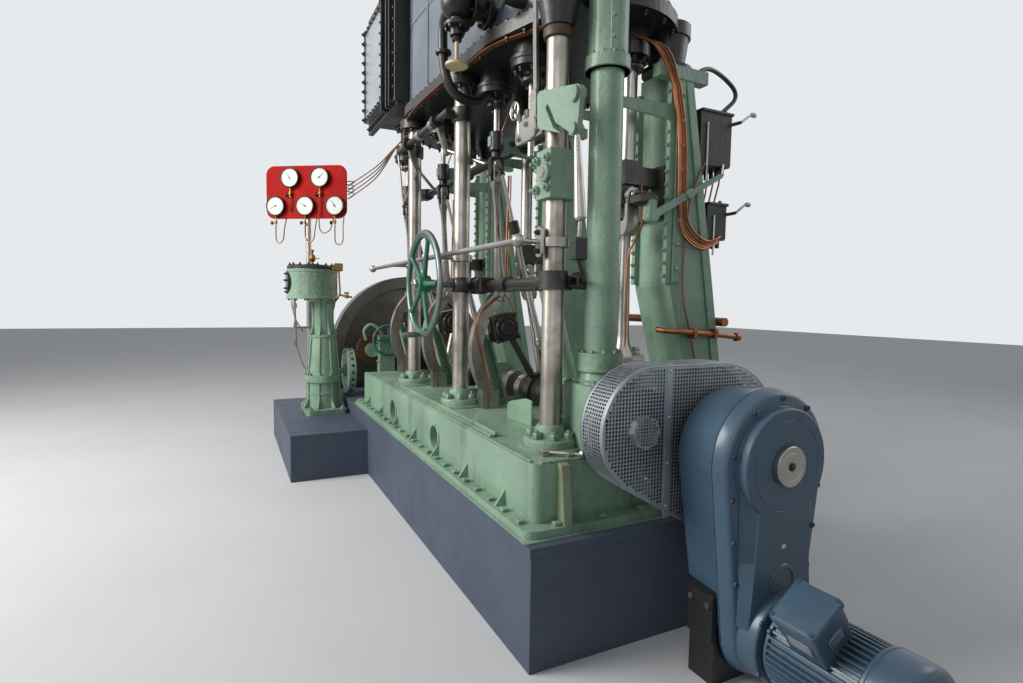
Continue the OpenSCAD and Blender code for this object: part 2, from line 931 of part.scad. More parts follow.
// Dark reversing shaft along the engine, with its gear boss and arms
module reversing_shaft() {
    color("dimgray") {
        difference() {
            bar_x(column_2_x - 70, column_2_x + 70, -box_y, screw_z, box_axis_r);
            bar_y(column_2_x, -box_y - 80, -box_y, screw_z, screw_r + fit);
        }
        bar_x(column_2_x + 69, column_1_x + 20, -box_y, screw_z, 32);
        for (x = [column_2_x + 450, column_1_x - 330])
            bar_x(x - 30, x + 30, -box_y, screw_z, 50);
        difference() {
            union() {
                bar_y(column_1_x, -column_y, -box_y, screw_z, 28);
                translate([column_1_x, -column_y, screw_z - 45])
                    cylinder(h = 90, r = column_r + 18);
            }
            translate([column_1_x, -column_y, screw_z - 100])
                cylinder(h = 200, r = column_r + fit);
        }
    }
}

// Ball-shaped eye on the middle front column
ball_r = 75;
module column_ball() {
    color("gray")
        difference() {
            translate([column_2_x, -column_y, screw_z])
                sphere(ball_r);
            translate([column_2_x, -column_y, deck_z])
                cylinder(h = base_z, r = column_r + fit);
            bar_y(column_2_x, -column_y - 200, -column_y + 200, screw_z, screw_r + fit);
        }
}

// Clamp bearing and slotted quadrant plate on the driven-end column
clamp_z = 2100;
clamp_h = 230;
clamp_w = 136;
clamp_d = 156;
clamp_shift = 15;
quad_y = 670;
quad_t = 24;
quad_z = 2530;
quad_corner_x = 1490;
quad_pivot = [1805, 2500];
quad_low = [1798, 2356];
slot_from = [1562, 2512];
slot_mid = [1632, 2412];
slot_to = [1746, 2343];
module slot_part(a, b) {
    hull() {
        translate(a)
            circle(13);
        translate(b)
            circle(13);
    }
}
module column_brackets() {
    color("seagreen") {
        difference() {
            translate([column_1_x + clamp_shift - clamp_w / 2, -column_y - clamp_d / 2, clamp_z])
                cube([clamp_w, clamp_d, clamp_h]);
            translate([column_1_x, -column_y, clamp_z - 1])
                cylinder(h = clamp_h + 2, r = column_r + fit);
        }
        plate_y(-quad_y, quad_t)
            difference() {
                hull() {
                    for (p = [[quad_corner_x, quad_z + 50], [quad_corner_x + 10, quad_z - 70], quad_low])
                        translate(p)
                            circle(30);
                    translate(quad_pivot)
                        circle(40);
                }
                slot_part(slot_from, slot_mid);
                slot_part(slot_mid, slot_to);
            }
        bar_y(quad_pivot[0], -quad_y - 16, -quad_y + quad_t + 12, quad_pivot[1], 34);
        bar_y(quad_low[0], -quad_y - 12, -quad_y + quad_t + 12, quad_low[1], 26);
        column_arm(column_1_x, quad_y - quad_t + 1, quad_z, 40, 110);
    }
}

// Polished handrail with ball ends on two brackets
rail_x0 = -1534;
module handrail() {
    color("silver") {
        bar_x(rail_x0, column_1_x, -rail_y, rail_z, rail_r);
        for (x = [rail_x0, column_1_x])
            translate([x, -rail_y, rail_z])
                sphere(34);
        for (x = column_xs)
            column_arm(x, rail_y - 3, rail_z, rail_r - 3, 44);
    }
}

// Green tube column with its collars and upper sleeve
collar_z = 2712;
collar_h = 63;
tube_top = base_z + 900;
module tube_column() {
    z0 = deck_z + tube_foot_h;
    color("darkseagreen")
        translate([tube_x, -tube_y, 0]) {
            translate([0, 0, z0])
                cylinder(h = tube_top - z0, r = tube_r);
            translate([0, 0, z0])
                cylinder(h = 60, r1 = 112, r2 = 96);
            translate([0, 0, z0 + 60])
                cylinder(h = 92, r = 112);
            translate([0, 0, collar_z])
                cylinder(h = collar_h, r = sleeve_r + 13);
            translate([0, 0, collar_z + collar_h - eps])
                cylinder(h = tube_top - collar_z - collar_h, r = sleeve_r);
        }
}
module tube_column_foot() {
    color("darkseagreen")
        translate([tube_x, -tube_y, deck_z]) {
            linear_extrude(tube_foot_h)
                rounded(tube_foot_w, tube_foot_w, 30);
        }
}

// Brown pipe along the back
feed_r = 26;
feed_z = 1500;
feed_x0 = -400;
feed_over = 60;
module feed_pipe() {
    y = back_y(feed_z) + feed_r * sqrt(1 + pow(back_slope(), 2)) + fit;
    color("saddlebrown")
        bar_x(feed_x0, crank_1_x + back_w / 2 + feed_over, y, feed_z, feed_r);
}

// Two lubricator boxes on the back of the driven-end column
lubricator_w = 260;
lubricator_boxes = [[1990, 190, 150], [2410, 290, 240]];
module lubricators() {
    color("black")
        for (b = lubricator_boxes)
            translate([crank_1_x + back_w / 2 - lubricator_w, back_y(b[0]) + fit, b[0]])
                cube([lubricator_w, b[2], b[1]]);
}

// Stop valve on the casing front with its hand disc
valve_x = 760;
valve_y = 820;
valve_z = base_z + 200;
valve_r = 95;
valve_pipe_r = 60;
stem_r = 12;
bonnet_r = 40;
bonnet_z = base_z + 20;
disc_z = base_z - 150;
hand_disc_r = 65;
module stop_valve() {
    color("black") {
        translate([valve_x, -valve_y, valve_z])
            sphere(valve_r);
        difference() {
            translate([valve_x, -valve_y, bonnet_z])
                cylinder(h = valve_z - valve_r + 15 - bonnet_z, r = bonnet_r);
            translate([valve_x, -valve_y, bonnet_z - 1])
                cylinder(h = 66, r = stem_r + fit);
        }
        difference() {
            bar_y(valve_x, -valve_y, -valve_y + 300, valve_z, valve_pipe_r);
            linear_extrude(2 * base_z)
                offset(delta = fit)
                    block_outline(0);
        }
    }
}
module stop_valve_wheel() {
    color("beige")
        translate([valve_x, -valve_y, disc_z]) {
            cylinder(h = 16, r = hand_disc_r);
            cylinder(h = bonnet_z + 60 - disc_z, r = stem_r);
        }
}

// Chain guard of sheet round both sprockets
small_y = -tube_y - 18;
small_z = crank_z + small_dz;
module guard_outline(inset) {
    hull() {
        translate([0, crank_z])
            circle(guard_big_r - inset, $fn = 72);
        translate([small_y, small_z])
            circle(guard_small_r - inset, $fn = 48);
    }
}
module chain_guard() {
    color("gray") {
        difference() {
            translate([guard_x, 0, 0])
                rotate([90, 0, 90])
                    linear_extrude(guard_w)
                        guard_outline(0);
            translate([guard_x + guard_t, 0, 0])
                rotate([90, 0, 90])
                    linear_extrude(guard_w - 2 * guard_t)
                        guard_outline(guard_t);
            bar_x(guard_x - 1, guard_x + guard_w + 1, 0, crank_z, shaft_r + 12);
            bar_x(guard_x - 1, guard_x + guard_t + 1, small_y, small_z, 60);
        }
        for (y = [-250, 250])
            bar_x(bed_l / 2 + fit, guard_x + 1, y, crank_z - 185, 12);
    }
}
chain_x = guard_x + 45;
chain_w = 40;
sprocket_r = 345;
small_sprocket_r = 170;
module drive_chain() {
    color("dimgray") {
        difference() {
            bar_x(chain_x, chain_x + chain_w, 0, crank_z, sprocket_r);
            bar_x(guard_x, chain_x + 2 * chain_w, 0, crank_z, shaft_r + fit);
        }
        bar_x(chain_x, chain_x + chain_w, small_y, small_z, small_sprocket_r);
        bar_x(tube_x + tube_foot_w / 2 + fit, chain_x + 1, small_y, small_z, 40);
    }
}

// Gearmotor: two-part gear case, raised cover with its neck, and finned motor
case_low_r = 225;
case_step = 24;
case_rim_t = 24;
case_floor = 390;
module case_outline(top_r, low_r) {
    hull() {
        translate([0, crank_z])
            circle(top_r, $fn = 72);
        translate([0, motor_z])
            circle(low_r, $fn = 48);
    }
}
module case_slice(x, t) {
    translate([x, 0, 0])
        rotate([90, 0, 90])
            linear_extrude(t)
                children();
}
module gearbox() {
    color("steelblue")
        difference() {
            union() {
                case_slice(gear_x, gear_rear_l)
                    intersection() {
                        case_outline(gear_r - case_step, case_low_r - case_step);
                        translate([-gear_r, case_floor])
                            square([2 * gear_r, 2 * gear_r + crank_z]);
                    }
                case_slice(parting_x - case_rim_t / 2, case_rim_t)
                    case_outline(gear_r, case_low_r);
                case_slice(parting_x, gear_front_l)
                    case_outline(gear_r - case_step, case_low_r - case_step);
            }
            bar_x(gear_x - 1, face_x + 1, 0, crank_z, shaft_r + fit);
        }
}
neck_top_w = 137;
neck_low_w = 178;
bell_r = 190;
module gearbox_cover() {
    color("steelblue")
        difference() {
            union() {
                bar_x(face_x, cover_x, 0, crank_z, cover_r);
                case_slice(face_x, cover_t)
                    polygon([[-neck_low_w, motor_z + 66], [neck_low_w, motor_z + 66],
                        [neck_top_w, crank_z - 190], [-neck_top_w, crank_z - 190]]);
                bar_x(face_x, bell_x, 0, motor_z, bell_r);
            }
            bar_x(face_x - 1, cover_x + 1, 0, crank_z, shaft_r + fit);
        }
}
motor_gap = 19;
cowl_l = 165;
cowl_end = 30;
fin_n = 24;
fin_t = 6;
terminal_turn = 34;
module motor() {
    x1 = bell_x + motor_gap;
    x2 = x1 + motor_l;
    x3 = x2 + cowl_l - cowl_end;
    color("steelblue") {
        bar_x(bell_x, x1 + eps, 0, motor_z, motor_r - 48);
        bar_x(x1, x2 + eps, 0, motor_z, motor_r - 26);
        for (i = [0 : fin_n - 1])
            translate([x1, 0, motor_z])
                rotate([i * 360 / fin_n, 0, 0])
                    translate([0, -fin_t / 2, motor_r - 60])
                        cube([motor_l, fin_t, 60]);
        bar_x(x2, x3, 0, motor_z, motor_r + 10);
        translate([x3 - eps, 0, motor_z])
            rotate([0, 90, 0])
                cylinder(h = cowl_end, r1 = motor_r + 10, r2 = motor_r - 22);
        translate([x1, 0, motor_z])
            rotate([terminal_turn, 0, 0]) {
                translate([95, -90, motor_r - 40])
                    cube([170, 180, 180]);
                translate([88, -97, motor_r + 132])
                    cube([184, 194, 30]);
            }
    }
}
support_y = 250;
support_t = 30;
support_in = 75;
support_gap = 20;
pedestal_h = 200;
module gearmotor_base() {
    x0 = gear_x + support_in;
    length = parting_x - support_gap - x0;
    color("black") {
        for (s = [-1, 1])
            translate([x0, s * (support_y - support_t / 2) - support_t / 2, pedestal_h - 10])
                cube([length, support_t, case_floor - fit - pedestal_h + 10]);
        translate([x0, -support_y + 1, case_floor - fit - support_t])
            cube([length, 2 * support_y - 2, support_t]);
        translate([x0, -support_y + support_t / 2, 0])
            cube([length, 2 * support_y - support_t, pedestal_h]);
    }
}

// Flywheel with a solid web
fly_web_t = 50;
module flywheel() {
    color("dimgray")
        translate([fly_x, 0, crank_z])
            rotate([0, 90, 0]) {
                difference() {
                    cylinder(h = fly_w, r = fly_r, center = true, $fn = 128);
                    cylinder(h = fly_w + 2, r = fly_r - fly_rim, center = true, $fn = 128);
                }
                difference() {
                    cylinder(h = fly_w + 40, r = 170, center = true);
                    cylinder(h = fly_w + 60, r = shaft_r + fit, center = true);
                }
                difference() {
                    cylinder(h = fly_web_t, r = fly_r - fly_rim + eps, center = true, $fn = 128);
                    cylinder(h = fly_w, r = 160, center = true);
                }
            }
}
outer_gap = 310;
outer_x = fly_x + fly_w / 2 + outer_gap;
module outer_bearing() {
    color("seagreen")
        difference() {
            union() {
                translate([outer_x - 110, -240, plinth_h])
                    cube([220, 480, 60]);
                translate([outer_x - 80, -130, plinth_h + 59])
                    cube([160, 260, crank_z - plinth_h - 59]);
                bar_x(outer_x - 80, outer_x + 80, 0, crank_z, 130);
            }
            bar_x(outer_x - 200, outer_x + 200, 0, crank_z, shaft_r + fit);
        }
}

// Wheels for turning the engine, and the bracket of their handwheel
turn_gap = 480;
turn_x = -bed_end - turn_gap;
turn_r = 380;
worm_r = 150;
worm_y = 650;
worm_z = 1065;
hand_gap = 230;
hand_x = -bed_end - hand_gap;
hand_y = -515;
hand_z = 1175;
hand_r = 155;
hand_bar_r = 14;
bracket_in = 150;
bracket_x = hand_x - bracket_in;
bracket_t = 120;
bracket_w = 160;
module turning_gear() {
    color("sienna") {
        difference() {
            bar_x(turn_x - 40, turn_x + 40, 0, crank_z, turn_r);
            bar_x(turn_x - 60, turn_x + 60, 0, crank_z, shaft_r + fit);
        }
        bar_x(bracket_x - 48, bracket_x - fit, -worm_y, worm_z, worm_r);
    }
}
module turning_bracket() {
    color("seagreen")
        difference() {
            union() {
                translate([bracket_x, hand_y - bracket_w / 2, plinth_h])
                    cube([bracket_t, bracket_w, hand_z + 45 - plinth_h]);
                bar_x(bracket_x, bracket_x + 40, -worm_y, worm_z, worm_r / 2);
                translate([bracket_x - 30, hand_y - bracket_w, plinth_h])
                    cube([bracket_t + 60, 2 * bracket_w, 40]);
            }
            bar_x(hand_x - 200, hand_x, hand_y, hand_z, hand_bar_r + fit);
        }
}
module turning_handwheel() {
    color("teal") {
        translate([hand_x, hand_y, hand_z])
            rotate([0, 90, 0]) {
                rotate_extrude()
                    translate([hand_r, 0])
                        circle(12);
                translate([0, 0, -15])
                    cylinder(h = 30, r = 26);
                for (i = [0 : 3])
                    rotate(i * 90)
                        translate([20, 0, 0])
                            rotate([0, 90, 0])
                                cylinder(h = hand_r - 26, r = 9);
            }
        bar_x(hand_x - 120, hand_x, hand_y, hand_z, hand_bar_r);
    }
}

// Auxiliary vertical engine: bolted lower body, arched frame, neck and cylinder
aux_offset = 100;
aux_body_r = 165;
aux_waist_r = 125;
aux_flange_z = 730;
aux_flange_t = 74;
aux_neck_z = 1219;
aux_neck_r = 105;
aux_crank_z = 833;
aux_shaft_r = 32;
aux_wheel_r = 240;
aux_wheel_y = 895;
aux_wheel_t = 75;
module auxiliary_frame() {
    color("darkseagreen")
        difference() {
            translate([aux_x, aux_offset - aux_y, 0]) {
                translate([0, 0, side_plinth_h])
                    linear_extrude(50)
                        rounded(560, 400, 40);
                translate([0, 0, side_plinth_h + 49])
                    cylinder(h = aux_flange_z - side_plinth_h - 49, r = aux_body_r);
                translate([0, 0, aux_flange_z - eps])
                    cylinder(h = aux_flange_t, r = aux_body_r + 25);
                translate([0, 0, aux_flange_z + aux_flange_t - 2 * eps])
                    cylinder(h = aux_neck_z - aux_flange_z - aux_flange_t, r1 = aux_body_r, r2 = aux_waist_r);
                translate([0, 0, aux_neck_z - 3 * eps])
                    cylinder(h = aux_cyl_z - aux_neck_z, r = aux_neck_r);
                translate([0, 0, aux_cyl_z - 34])
                    cylinder(h = 34, r = aux_neck_r + 30);
            }
            bar_y(aux_x, aux_offset - aux_y - 260, aux_offset - aux_y + 260, aux_crank_z, aux_shaft_r + fit);
        }
}
module auxiliary_shaft() {
    color("gray") {
        bar_y(aux_x, -aux_y, -aux_wheel_y + aux_wheel_t, aux_crank_z, aux_shaft_r);
        bar_y(aux_x, -aux_wheel_y, -aux_wheel_y + aux_wheel_t, aux_crank_z, aux_wheel_r);
    }
}
module auxiliary_cylinder() {
    color("seagreen")
        translate([aux_x, -aux_y, aux_cyl_z]) {
            cylinder(h = aux_cyl_h - 70, r = aux_r);
            cylinder(h = 30, r = aux_r + 12);
            translate([0, 0, aux_cyl_h - 71])
                cylinder(h = 40, r = aux_r - 12);
            translate([0, 0, aux_cyl_h - 32])
                nut_ring(12, aux_r - 38, 16, 26);
        }
}

// Gauge board on a slim post
board_x = -3010;
board_y = -1195;
board_t = 18;
board_corner = 100;
module gauge_board() {
    color("firebrick")
        translate([board_x, board_y, board_z])
            rotate([0, 0, board_turn])
                rotate([90, 0, 90])
                    linear_extrude(board_t)
                        rounded(board_w, board_h, board_corner);
}
gauge_r = 112;
gauge_top = [180, 158];
gauge_low = [358, -158];
gauge_spots = [[-gauge_top[0], gauge_top[1]], gauge_top, [-gauge_low[0], gauge_low[1]],
    [0, gauge_low[1]], gauge_low];
module gauges() {
    color("white")
        translate([board_x, board_y, board_z])
            rotate([0, 0, board_turn])
                for (p = gauge_spots)
                    translate([board_t, p[0], p[1]])
                        rotate([0, 90, 0])
                            cylinder(h = 46, r = gauge_r);
}
module gauge_post() {
    color("gray")
        translate([board_x, board_y, 0])
            rotate([0, 0, board_turn])
                translate([-31, 0, side_plinth_h])
                    cylinder(h = board_z + 200 - side_plinth_h, r = 30);
}

plinth();
bedplate();
bearing_caps();
crankshaft();
connecting_rods();
crossheads();
piston_rods();
front_columns();
back_column_near();
back_column_middle();
back_column_far();
cylinder_base();
cylinder_casing();
cylinder_covers();
valve_chest();
valve_chest_cover();
valve_spindles();
valve_rods();
curved_levers();
eccentric_rods();
gear_heads();
gear_stays();
weigh_shaft();
reversing_handwheel();
reversing_shaft();
column_ball();
column_brackets();
handrail();
tube_column();
tube_column_foot();
feed_pipe();
lubricators();
stop_valve();
stop_valve_wheel();
chain_guard();
drive_chain();
gearbox();
gearbox_cover();
motor();
gearmotor_base();
flywheel();
outer_bearing();
turning_gear();
turning_bracket();
turning_handwheel();
auxiliary_frame();
auxiliary_shaft();
auxiliary_cylinder();
gauge_board();
gauges();
gauge_post();
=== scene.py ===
import math

import bmesh
import bpy
from mathutils import Matrix, Vector


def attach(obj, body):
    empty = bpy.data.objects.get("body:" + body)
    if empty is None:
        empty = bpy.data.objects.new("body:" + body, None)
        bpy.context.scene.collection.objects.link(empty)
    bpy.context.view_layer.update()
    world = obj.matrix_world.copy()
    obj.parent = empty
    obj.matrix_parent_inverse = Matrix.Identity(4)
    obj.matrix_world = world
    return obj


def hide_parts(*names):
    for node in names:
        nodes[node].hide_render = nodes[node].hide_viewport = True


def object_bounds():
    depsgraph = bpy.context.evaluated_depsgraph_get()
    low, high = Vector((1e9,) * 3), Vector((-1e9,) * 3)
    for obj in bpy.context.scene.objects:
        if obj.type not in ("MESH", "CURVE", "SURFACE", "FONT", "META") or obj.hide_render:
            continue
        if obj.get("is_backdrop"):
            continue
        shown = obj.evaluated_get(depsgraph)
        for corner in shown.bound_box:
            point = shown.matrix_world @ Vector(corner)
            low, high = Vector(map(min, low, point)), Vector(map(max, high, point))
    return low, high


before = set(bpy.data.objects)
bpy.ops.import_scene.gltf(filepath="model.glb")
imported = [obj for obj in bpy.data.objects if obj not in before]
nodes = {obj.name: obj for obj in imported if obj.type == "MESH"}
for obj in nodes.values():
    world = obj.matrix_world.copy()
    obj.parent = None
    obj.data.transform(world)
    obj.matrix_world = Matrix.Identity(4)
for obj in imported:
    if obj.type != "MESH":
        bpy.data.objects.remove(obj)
cad_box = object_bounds()


# Colours and materials

def rgb(code):
    """Linear colour of a hex code such as 8fa993."""
    values = [int(code[i:i + 2], 16) / 255 for i in (0, 2, 4)]
    linear = [v / 12.92 if v <= 0.04045 else ((v + 0.055) / 1.055) ** 2.4 for v in values]
    return (*linear, 1.0)


class Graph:
    """A material's node tree with short calls for the nodes that the finishes share."""

    def __init__(self, name):
        self.material = bpy.data.materials.new(name)
        self.material.use_nodes = True
        self.tree = self.material.node_tree
        self.shader = self.tree.nodes["Principled BSDF"]
        self.coords = self.tree.nodes.new("ShaderNodeTexCoord").outputs["Object"]

    def link(self, out, socket):
        self.tree.links.new(out, socket)

    def noise(self, scale, detail=6.0, stretch=(1, 1, 1)):
        mapping = self.tree.nodes.new("ShaderNodeMapping")
        mapping.inputs["Scale"].default_value = stretch
        self.link(self.coords, mapping.inputs["Vector"])
        node = self.tree.nodes.new("ShaderNodeTexNoise")
        node.inputs["Scale"].default_value = scale
        node.inputs["Detail"].default_value = detail
        node.inputs["Roughness"].default_value = 0.6
        self.link(mapping.outputs["Vector"], node.inputs["Vector"])
        return node.outputs["Fac"]

    def ramp(self, fac, low, high):
        """Stretches fac so that low gives 0 and high gives 1."""
        node = self.tree.nodes.new("ShaderNodeMapRange")
        node.inputs["From Min"].default_value = low
        node.inputs["From Max"].default_value = high
        self.link(fac, node.inputs["Value"])
        return node.outputs["Result"]

    def math(self, kind, a, b):
        node = self.tree.nodes.new("ShaderNodeMath")
        node.operation = kind
        for value, socket in ((a, node.inputs[0]), (b, node.inputs[1])):
            if isinstance(value, (int, float)):
                socket.default_value = value
            else:
                self.link(value, socket)
        return node.outputs["Value"]

    def mix(self, fac, a, b):
        node = self.tree.nodes.new("ShaderNodeMix")
        node.data_type = "RGBA"
        self.link(fac, node.inputs["Factor"])
        for value, socket in ((a, node.inputs[6]), (b, node.inputs[7])):
            if isinstance(value, tuple):
                socket.default_value = value
            else:
                self.link(value, socket)
        return node.outputs[2]

    def edges(self, radius):
        """1 on sharp outer edges and 0 on flat faces."""
        bevel = self.tree.nodes.new("ShaderNodeBevel")
        bevel.samples = 4
        bevel.inputs["Radius"].default_value = radius
        geometry = self.tree.nodes.new("ShaderNodeNewGeometry")
        dot = self.tree.nodes.new("ShaderNodeVectorMath")
        dot.operation = "DOT_PRODUCT"
        self.link(bevel.outputs["Normal"], dot.inputs[0])
        self.link(geometry.outputs["Normal"], dot.inputs[1])
        return self.ramp(dot.outputs["Value"], 0.995, 0.9)

    def bump(self, height, strength, distance):
        node = self.tree.nodes.new("ShaderNodeBump")
        node.inputs["Strength"].default_value = strength
        node.inputs["Distance"].default_value = distance
        self.link(height, node.inputs["Height"])
        self.link(node.outputs["Normal"], self.shader.inputs["Normal"])


DIRT = rgb("3b3a2c")


def painted(name, colour, shade, rough=0.42, lumps=0.5, grime=0.55, chips=None, coat=0.0,
            shine=0.35, skin=24, depth=0.004):
    """Brushed paint on a casting: cloudy colour, dirt, chipped edges and a lumpy skin."""
    g = Graph(name)
    cloud = g.ramp(g.noise(2.2, 8), 0.35, 0.7)
    colour_out = g.mix(cloud, rgb(colour), rgb(shade))
    streaks = g.ramp(g.noise(5.0, 8, (1, 1, 0.18)), 0.52, 0.78)
    dirt = g.math("MULTIPLY", streaks, grime)
    colour_out = g.mix(dirt, colour_out, DIRT)
    if chips:
        spots = g.ramp(g.noise(38, 6), 0.5, 0.62)
        worn = g.math("MULTIPLY", g.edges(0.006), spots)
        colour_out = g.mix(worn, colour_out, rgb(chips))
    g.link(colour_out, g.shader.inputs["Base Color"])
    gloss = g.ramp(g.noise(9, 5), 0.2, 0.8)
    g.link(g.math("ADD", g.math("MULTIPLY", gloss, 0.25), rough - 0.12), g.shader.inputs["Roughness"])
    g.shader.inputs["Specular IOR Level"].default_value = shine
    g.shader.inputs["Coat Weight"].default_value = coat
    g.shader.inputs["Coat Roughness"].default_value = 0.18
    g.bump(g.math("ADD", g.noise(skin, 4), g.math("MULTIPLY", g.noise(150, 3), 0.35)), lumps, depth)
    return g.material


def metal(name, colour, shade, rough=0.25, rust="5a4632", rusty=0.35, grain=(1, 1, 1), oil=0.0):
    """Bright or dark bare metal with tarnish clouds, turning marks and a little rust."""
    g = Graph(name)
    cloud = g.ramp(g.noise(3.5, 8), 0.38, 0.68)
    colour_out = g.mix(cloud, rgb(colour), rgb(shade))
    spots = g.ramp(g.noise(11, 10), 0.55, 0.75)
    colour_out = g.mix(g.math("MULTIPLY", spots, rusty), colour_out, rgb(rust))
    g.link(colour_out, g.shader.inputs["Base Color"])
    g.shader.inputs["Metallic"].default_value = 0.9
    dull = g.math("MULTIPLY", g.ramp(g.noise(7, 6), 0.3, 0.8), 0.3)
    g.link(g.math("ADD", dull, rough), g.shader.inputs["Roughness"])
    g.bump(g.noise(60, 3, grain), 0.12, 0.002)
    g.shader.inputs["Coat Weight"].default_value = oil
    return g.material


green = painted("green_paint", "8aa890", "718c79", lumps=0.85, grime=0.6, chips="4a4034", coat=0.3,
                skin=15, depth=0.011)
green_rust = painted("green_rust", "829c82", "868463", grime=0.7, chips="6b4a2c", coat=0.1)
deep_green = painted("deep_green_paint", "2f6e55", "27584a", grime=0.4, chips="3a342c", coat=0.25)
slate = painted("plinth_paint", "4a5363", "404857", rough=0.6, lumps=0.2, grime=0.2)
blue = painted("drive_paint", "41596b", "384e60", rough=0.38, lumps=0.25, grime=0.12,
               chips="26323c", coat=0.2)
blue_dark = painted("drive_screws", "33495a", "2b3c49", rough=0.45, lumps=0.1, grime=0.1)
black = painted("black_iron", "191a1b", "262422", lumps=0.7, grime=0.35, chips="4c4038", coat=0.2)
casing = painted("casing_sheet", "626b77", "4a525d", rough=0.32, lumps=0.1, grime=0.4, coat=0.4)
red = painted("board_red", "b01a14", "94140f", rough=0.6, lumps=0.1, grime=0.1, shine=0.08)
brown = painted("brown_iron", "4a352a", "35271f", rough=0.5, lumps=0.5)
cream = painted("disc_cream", "c9bd9a", "b1a37f", rough=0.5, lumps=0.1, grime=0.35)
steel = metal("polished_steel", "b4b1ab", "8f8a82", 0.2, rusty=0.35)
turned = metal("turned_steel", "aaa49c", "77716a", 0.24, rusty=0.55, grain=(1, 1, 0.06))
dark_steel = metal("dark_steel", "504f4d", "33322f", 0.34, rusty=0.22, oil=0.2)
rim_steel = metal("rim_steel", "7f8583", "5f6664", 0.28, rusty=0.2)
bright_sheet = metal("bright_sheet", "c6cace", "aab0b6", 0.24, rusty=0.1)
guard_sheet = metal("guard_sheet", "a9afb4", "878d93", 0.36, rusty=0.1)
# Darker copy of the guard sheet for the far sheet: painted shade for the darkness seen through the near
# sheet's holes
guard_painted_shade = metal("guard_sheet_painted_shade", "3f4246", "2e3033", 0.5, rusty=0.2)
copper = metal("copper_pipe", "9a6444", "6b4430", 0.32, rust="3f3a30", rusty=0.4)
brass = metal("brass", "a98a4c", "7d6434", 0.3, rust="3f3a30", rusty=0.3)
worn_steel = metal("worn_steel", "77736d", "4c4843", 0.3, rusty=0.5)
rusty = metal("rusty_iron", "5c4030", "3d2f25", 0.5, rusty=0.7)
dial_white = painted("gauge_face", "dfded8", "d2d0c8", rough=0.35, lumps=0.0, grime=0.04)

FINISHES = (
    (slate, "plinth"),
    (green, "bedplate bearing_caps back_column_near back_column_middle back_column_far gear_stays"
            " column_brackets tube_column tube_column_foot outer_bearing turning_bracket"
            " auxiliary_frame auxiliary_shaft auxiliary_cylinder"),
    (deep_green, "reversing_handwheel turning_handwheel"),
    (black, "cylinder_base cylinder_covers valve_chest gear_heads lubricators stop_valve gearmotor_base"),
    (casing, "cylinder_casing"),
    (steel, "crankshaft connecting_rods piston_rods valve_spindles valve_rods curved_levers handrail"
            " gauge_post"),
    (turned, "front_columns"),
    (dark_steel, "crossheads eccentric_rods weigh_shaft reversing_shaft column_ball drive_chain"),
    (worn_steel, "flywheel"),
    (rusty, "turning_gear"),
    (copper, "feed_pipe"),
    (cream, "stop_valve_wheel"),
    (blue, "gearbox gearbox_cover motor"),
    (guard_sheet, "chain_guard"),
    (bright_sheet, "valve_chest_cover"),
    (red, "gauge_board"),
    (dial_white, "gauges"),
)


def finish_nodes():
    """Gives each CAD node its finish, also where a piece of the scene stands for it."""
    for finish, names in FINISHES:
        for name in names.split():
            materials = nodes[name].data.materials
            materials.clear()
            materials.append(finish)


# Shapes

X, Y, Z = Vector((1, 0, 0)), Vector((0, 1, 0)), Vector((0, 0, 1))
TAU = 2 * math.pi


def axes(w):
    """Two directions square to w, and w itself, all of length one."""
    w = Vector(w).normalized()
    u = (Z if abs(w.z) < 0.9 else X).cross(w).normalized()
    return u, w.cross(u), w


def frame_at(origin, u=X, v=Y, w=Z):
    """Turns plate coordinates into a place in the scene."""
    origin, u, v, w = (Vector(a) for a in (origin, u, v, w))
    return lambda a, b, h: origin + u * a + v * b + w * h


def facing_x(x):
    return frame_at((x, 0, 0), Y, Z, X)


def facing_y(y):
    return frame_at((0, y, 0), X, Z, Y)


def swing(u, v, t):
    """The directions u and v turned by the angle t in their plane."""
    return u * math.cos(t) + v * math.sin(t), v * math.cos(t) - u * math.sin(t)


def curve_through(points, steps, closed=False):
    """Smooth curve through the points."""
    pts = [Vector(p) for p in points]
    if closed:
        ends = [pts[-1]] + pts + pts[:2]
    else:
        ends = [2 * pts[0] - pts[1]] + pts + [2 * pts[-1] - pts[-2]]
    out = []
    for a, b, c, d in zip(ends, ends[1:], ends[2:], ends[3:]):
        for i in range(steps):
            t = i / steps
            out.append(0.5 * (2 * b + (c - a) * t + (2 * a - 5 * b + 4 * c - d) * t * t
                              + (3 * b - a - 3 * c + d) * t ** 3))
    return out if closed else out + [pts[-1]]


def inset(outline, d):
    """The outline moved inwards by d."""
    pts = [Vector(p) for p in outline]
    turn = sum(a.x * b.y - a.y * b.x for a, b in zip(pts, pts[1:] + pts[:1]))
    sign = 1 if turn > 0 else -1
    out = []
    for i, p in enumerate(pts):
        a = (p - pts[i - 1]).normalized()
        b = (pts[(i + 1) % len(pts)] - p).normalized()
        m = Vector((-a.y - b.y, a.x + b.x))
        out.append(p + m * (sign * d / max(m.length_squared / 2, 0.3)))
    return out


def rounded(w, h, r, at=(0, 0), n=5):
    """Outline of a board with round corners, centred on a place."""
    out = []
    for k, (i, j) in enumerate(((1, 1), (-1, 1), (-1, -1), (1, -1))):
        for s in range(n + 1):
            t = (k + s / n) * TAU / 4
            corner = Vector((at[0] + i * (w / 2 - r), at[1] + j * (h / 2 - r)))
            out.append(corner + Vector((r * math.cos(t), r * math.sin(t))))
    return out


def around(circles, n=96, grow=0.0):
    """Outline round some circles, one point for each of n directions."""
    out = []
    for i in range(n):
        d = Vector((math.cos(TAU * i / n), math.sin(TAU * i / n)))
        centre, r = max(circles, key=lambda c: Vector(c[0]).dot(d) + c[1])
        out.append(Vector(centre) + d * (r + grow))
    return out


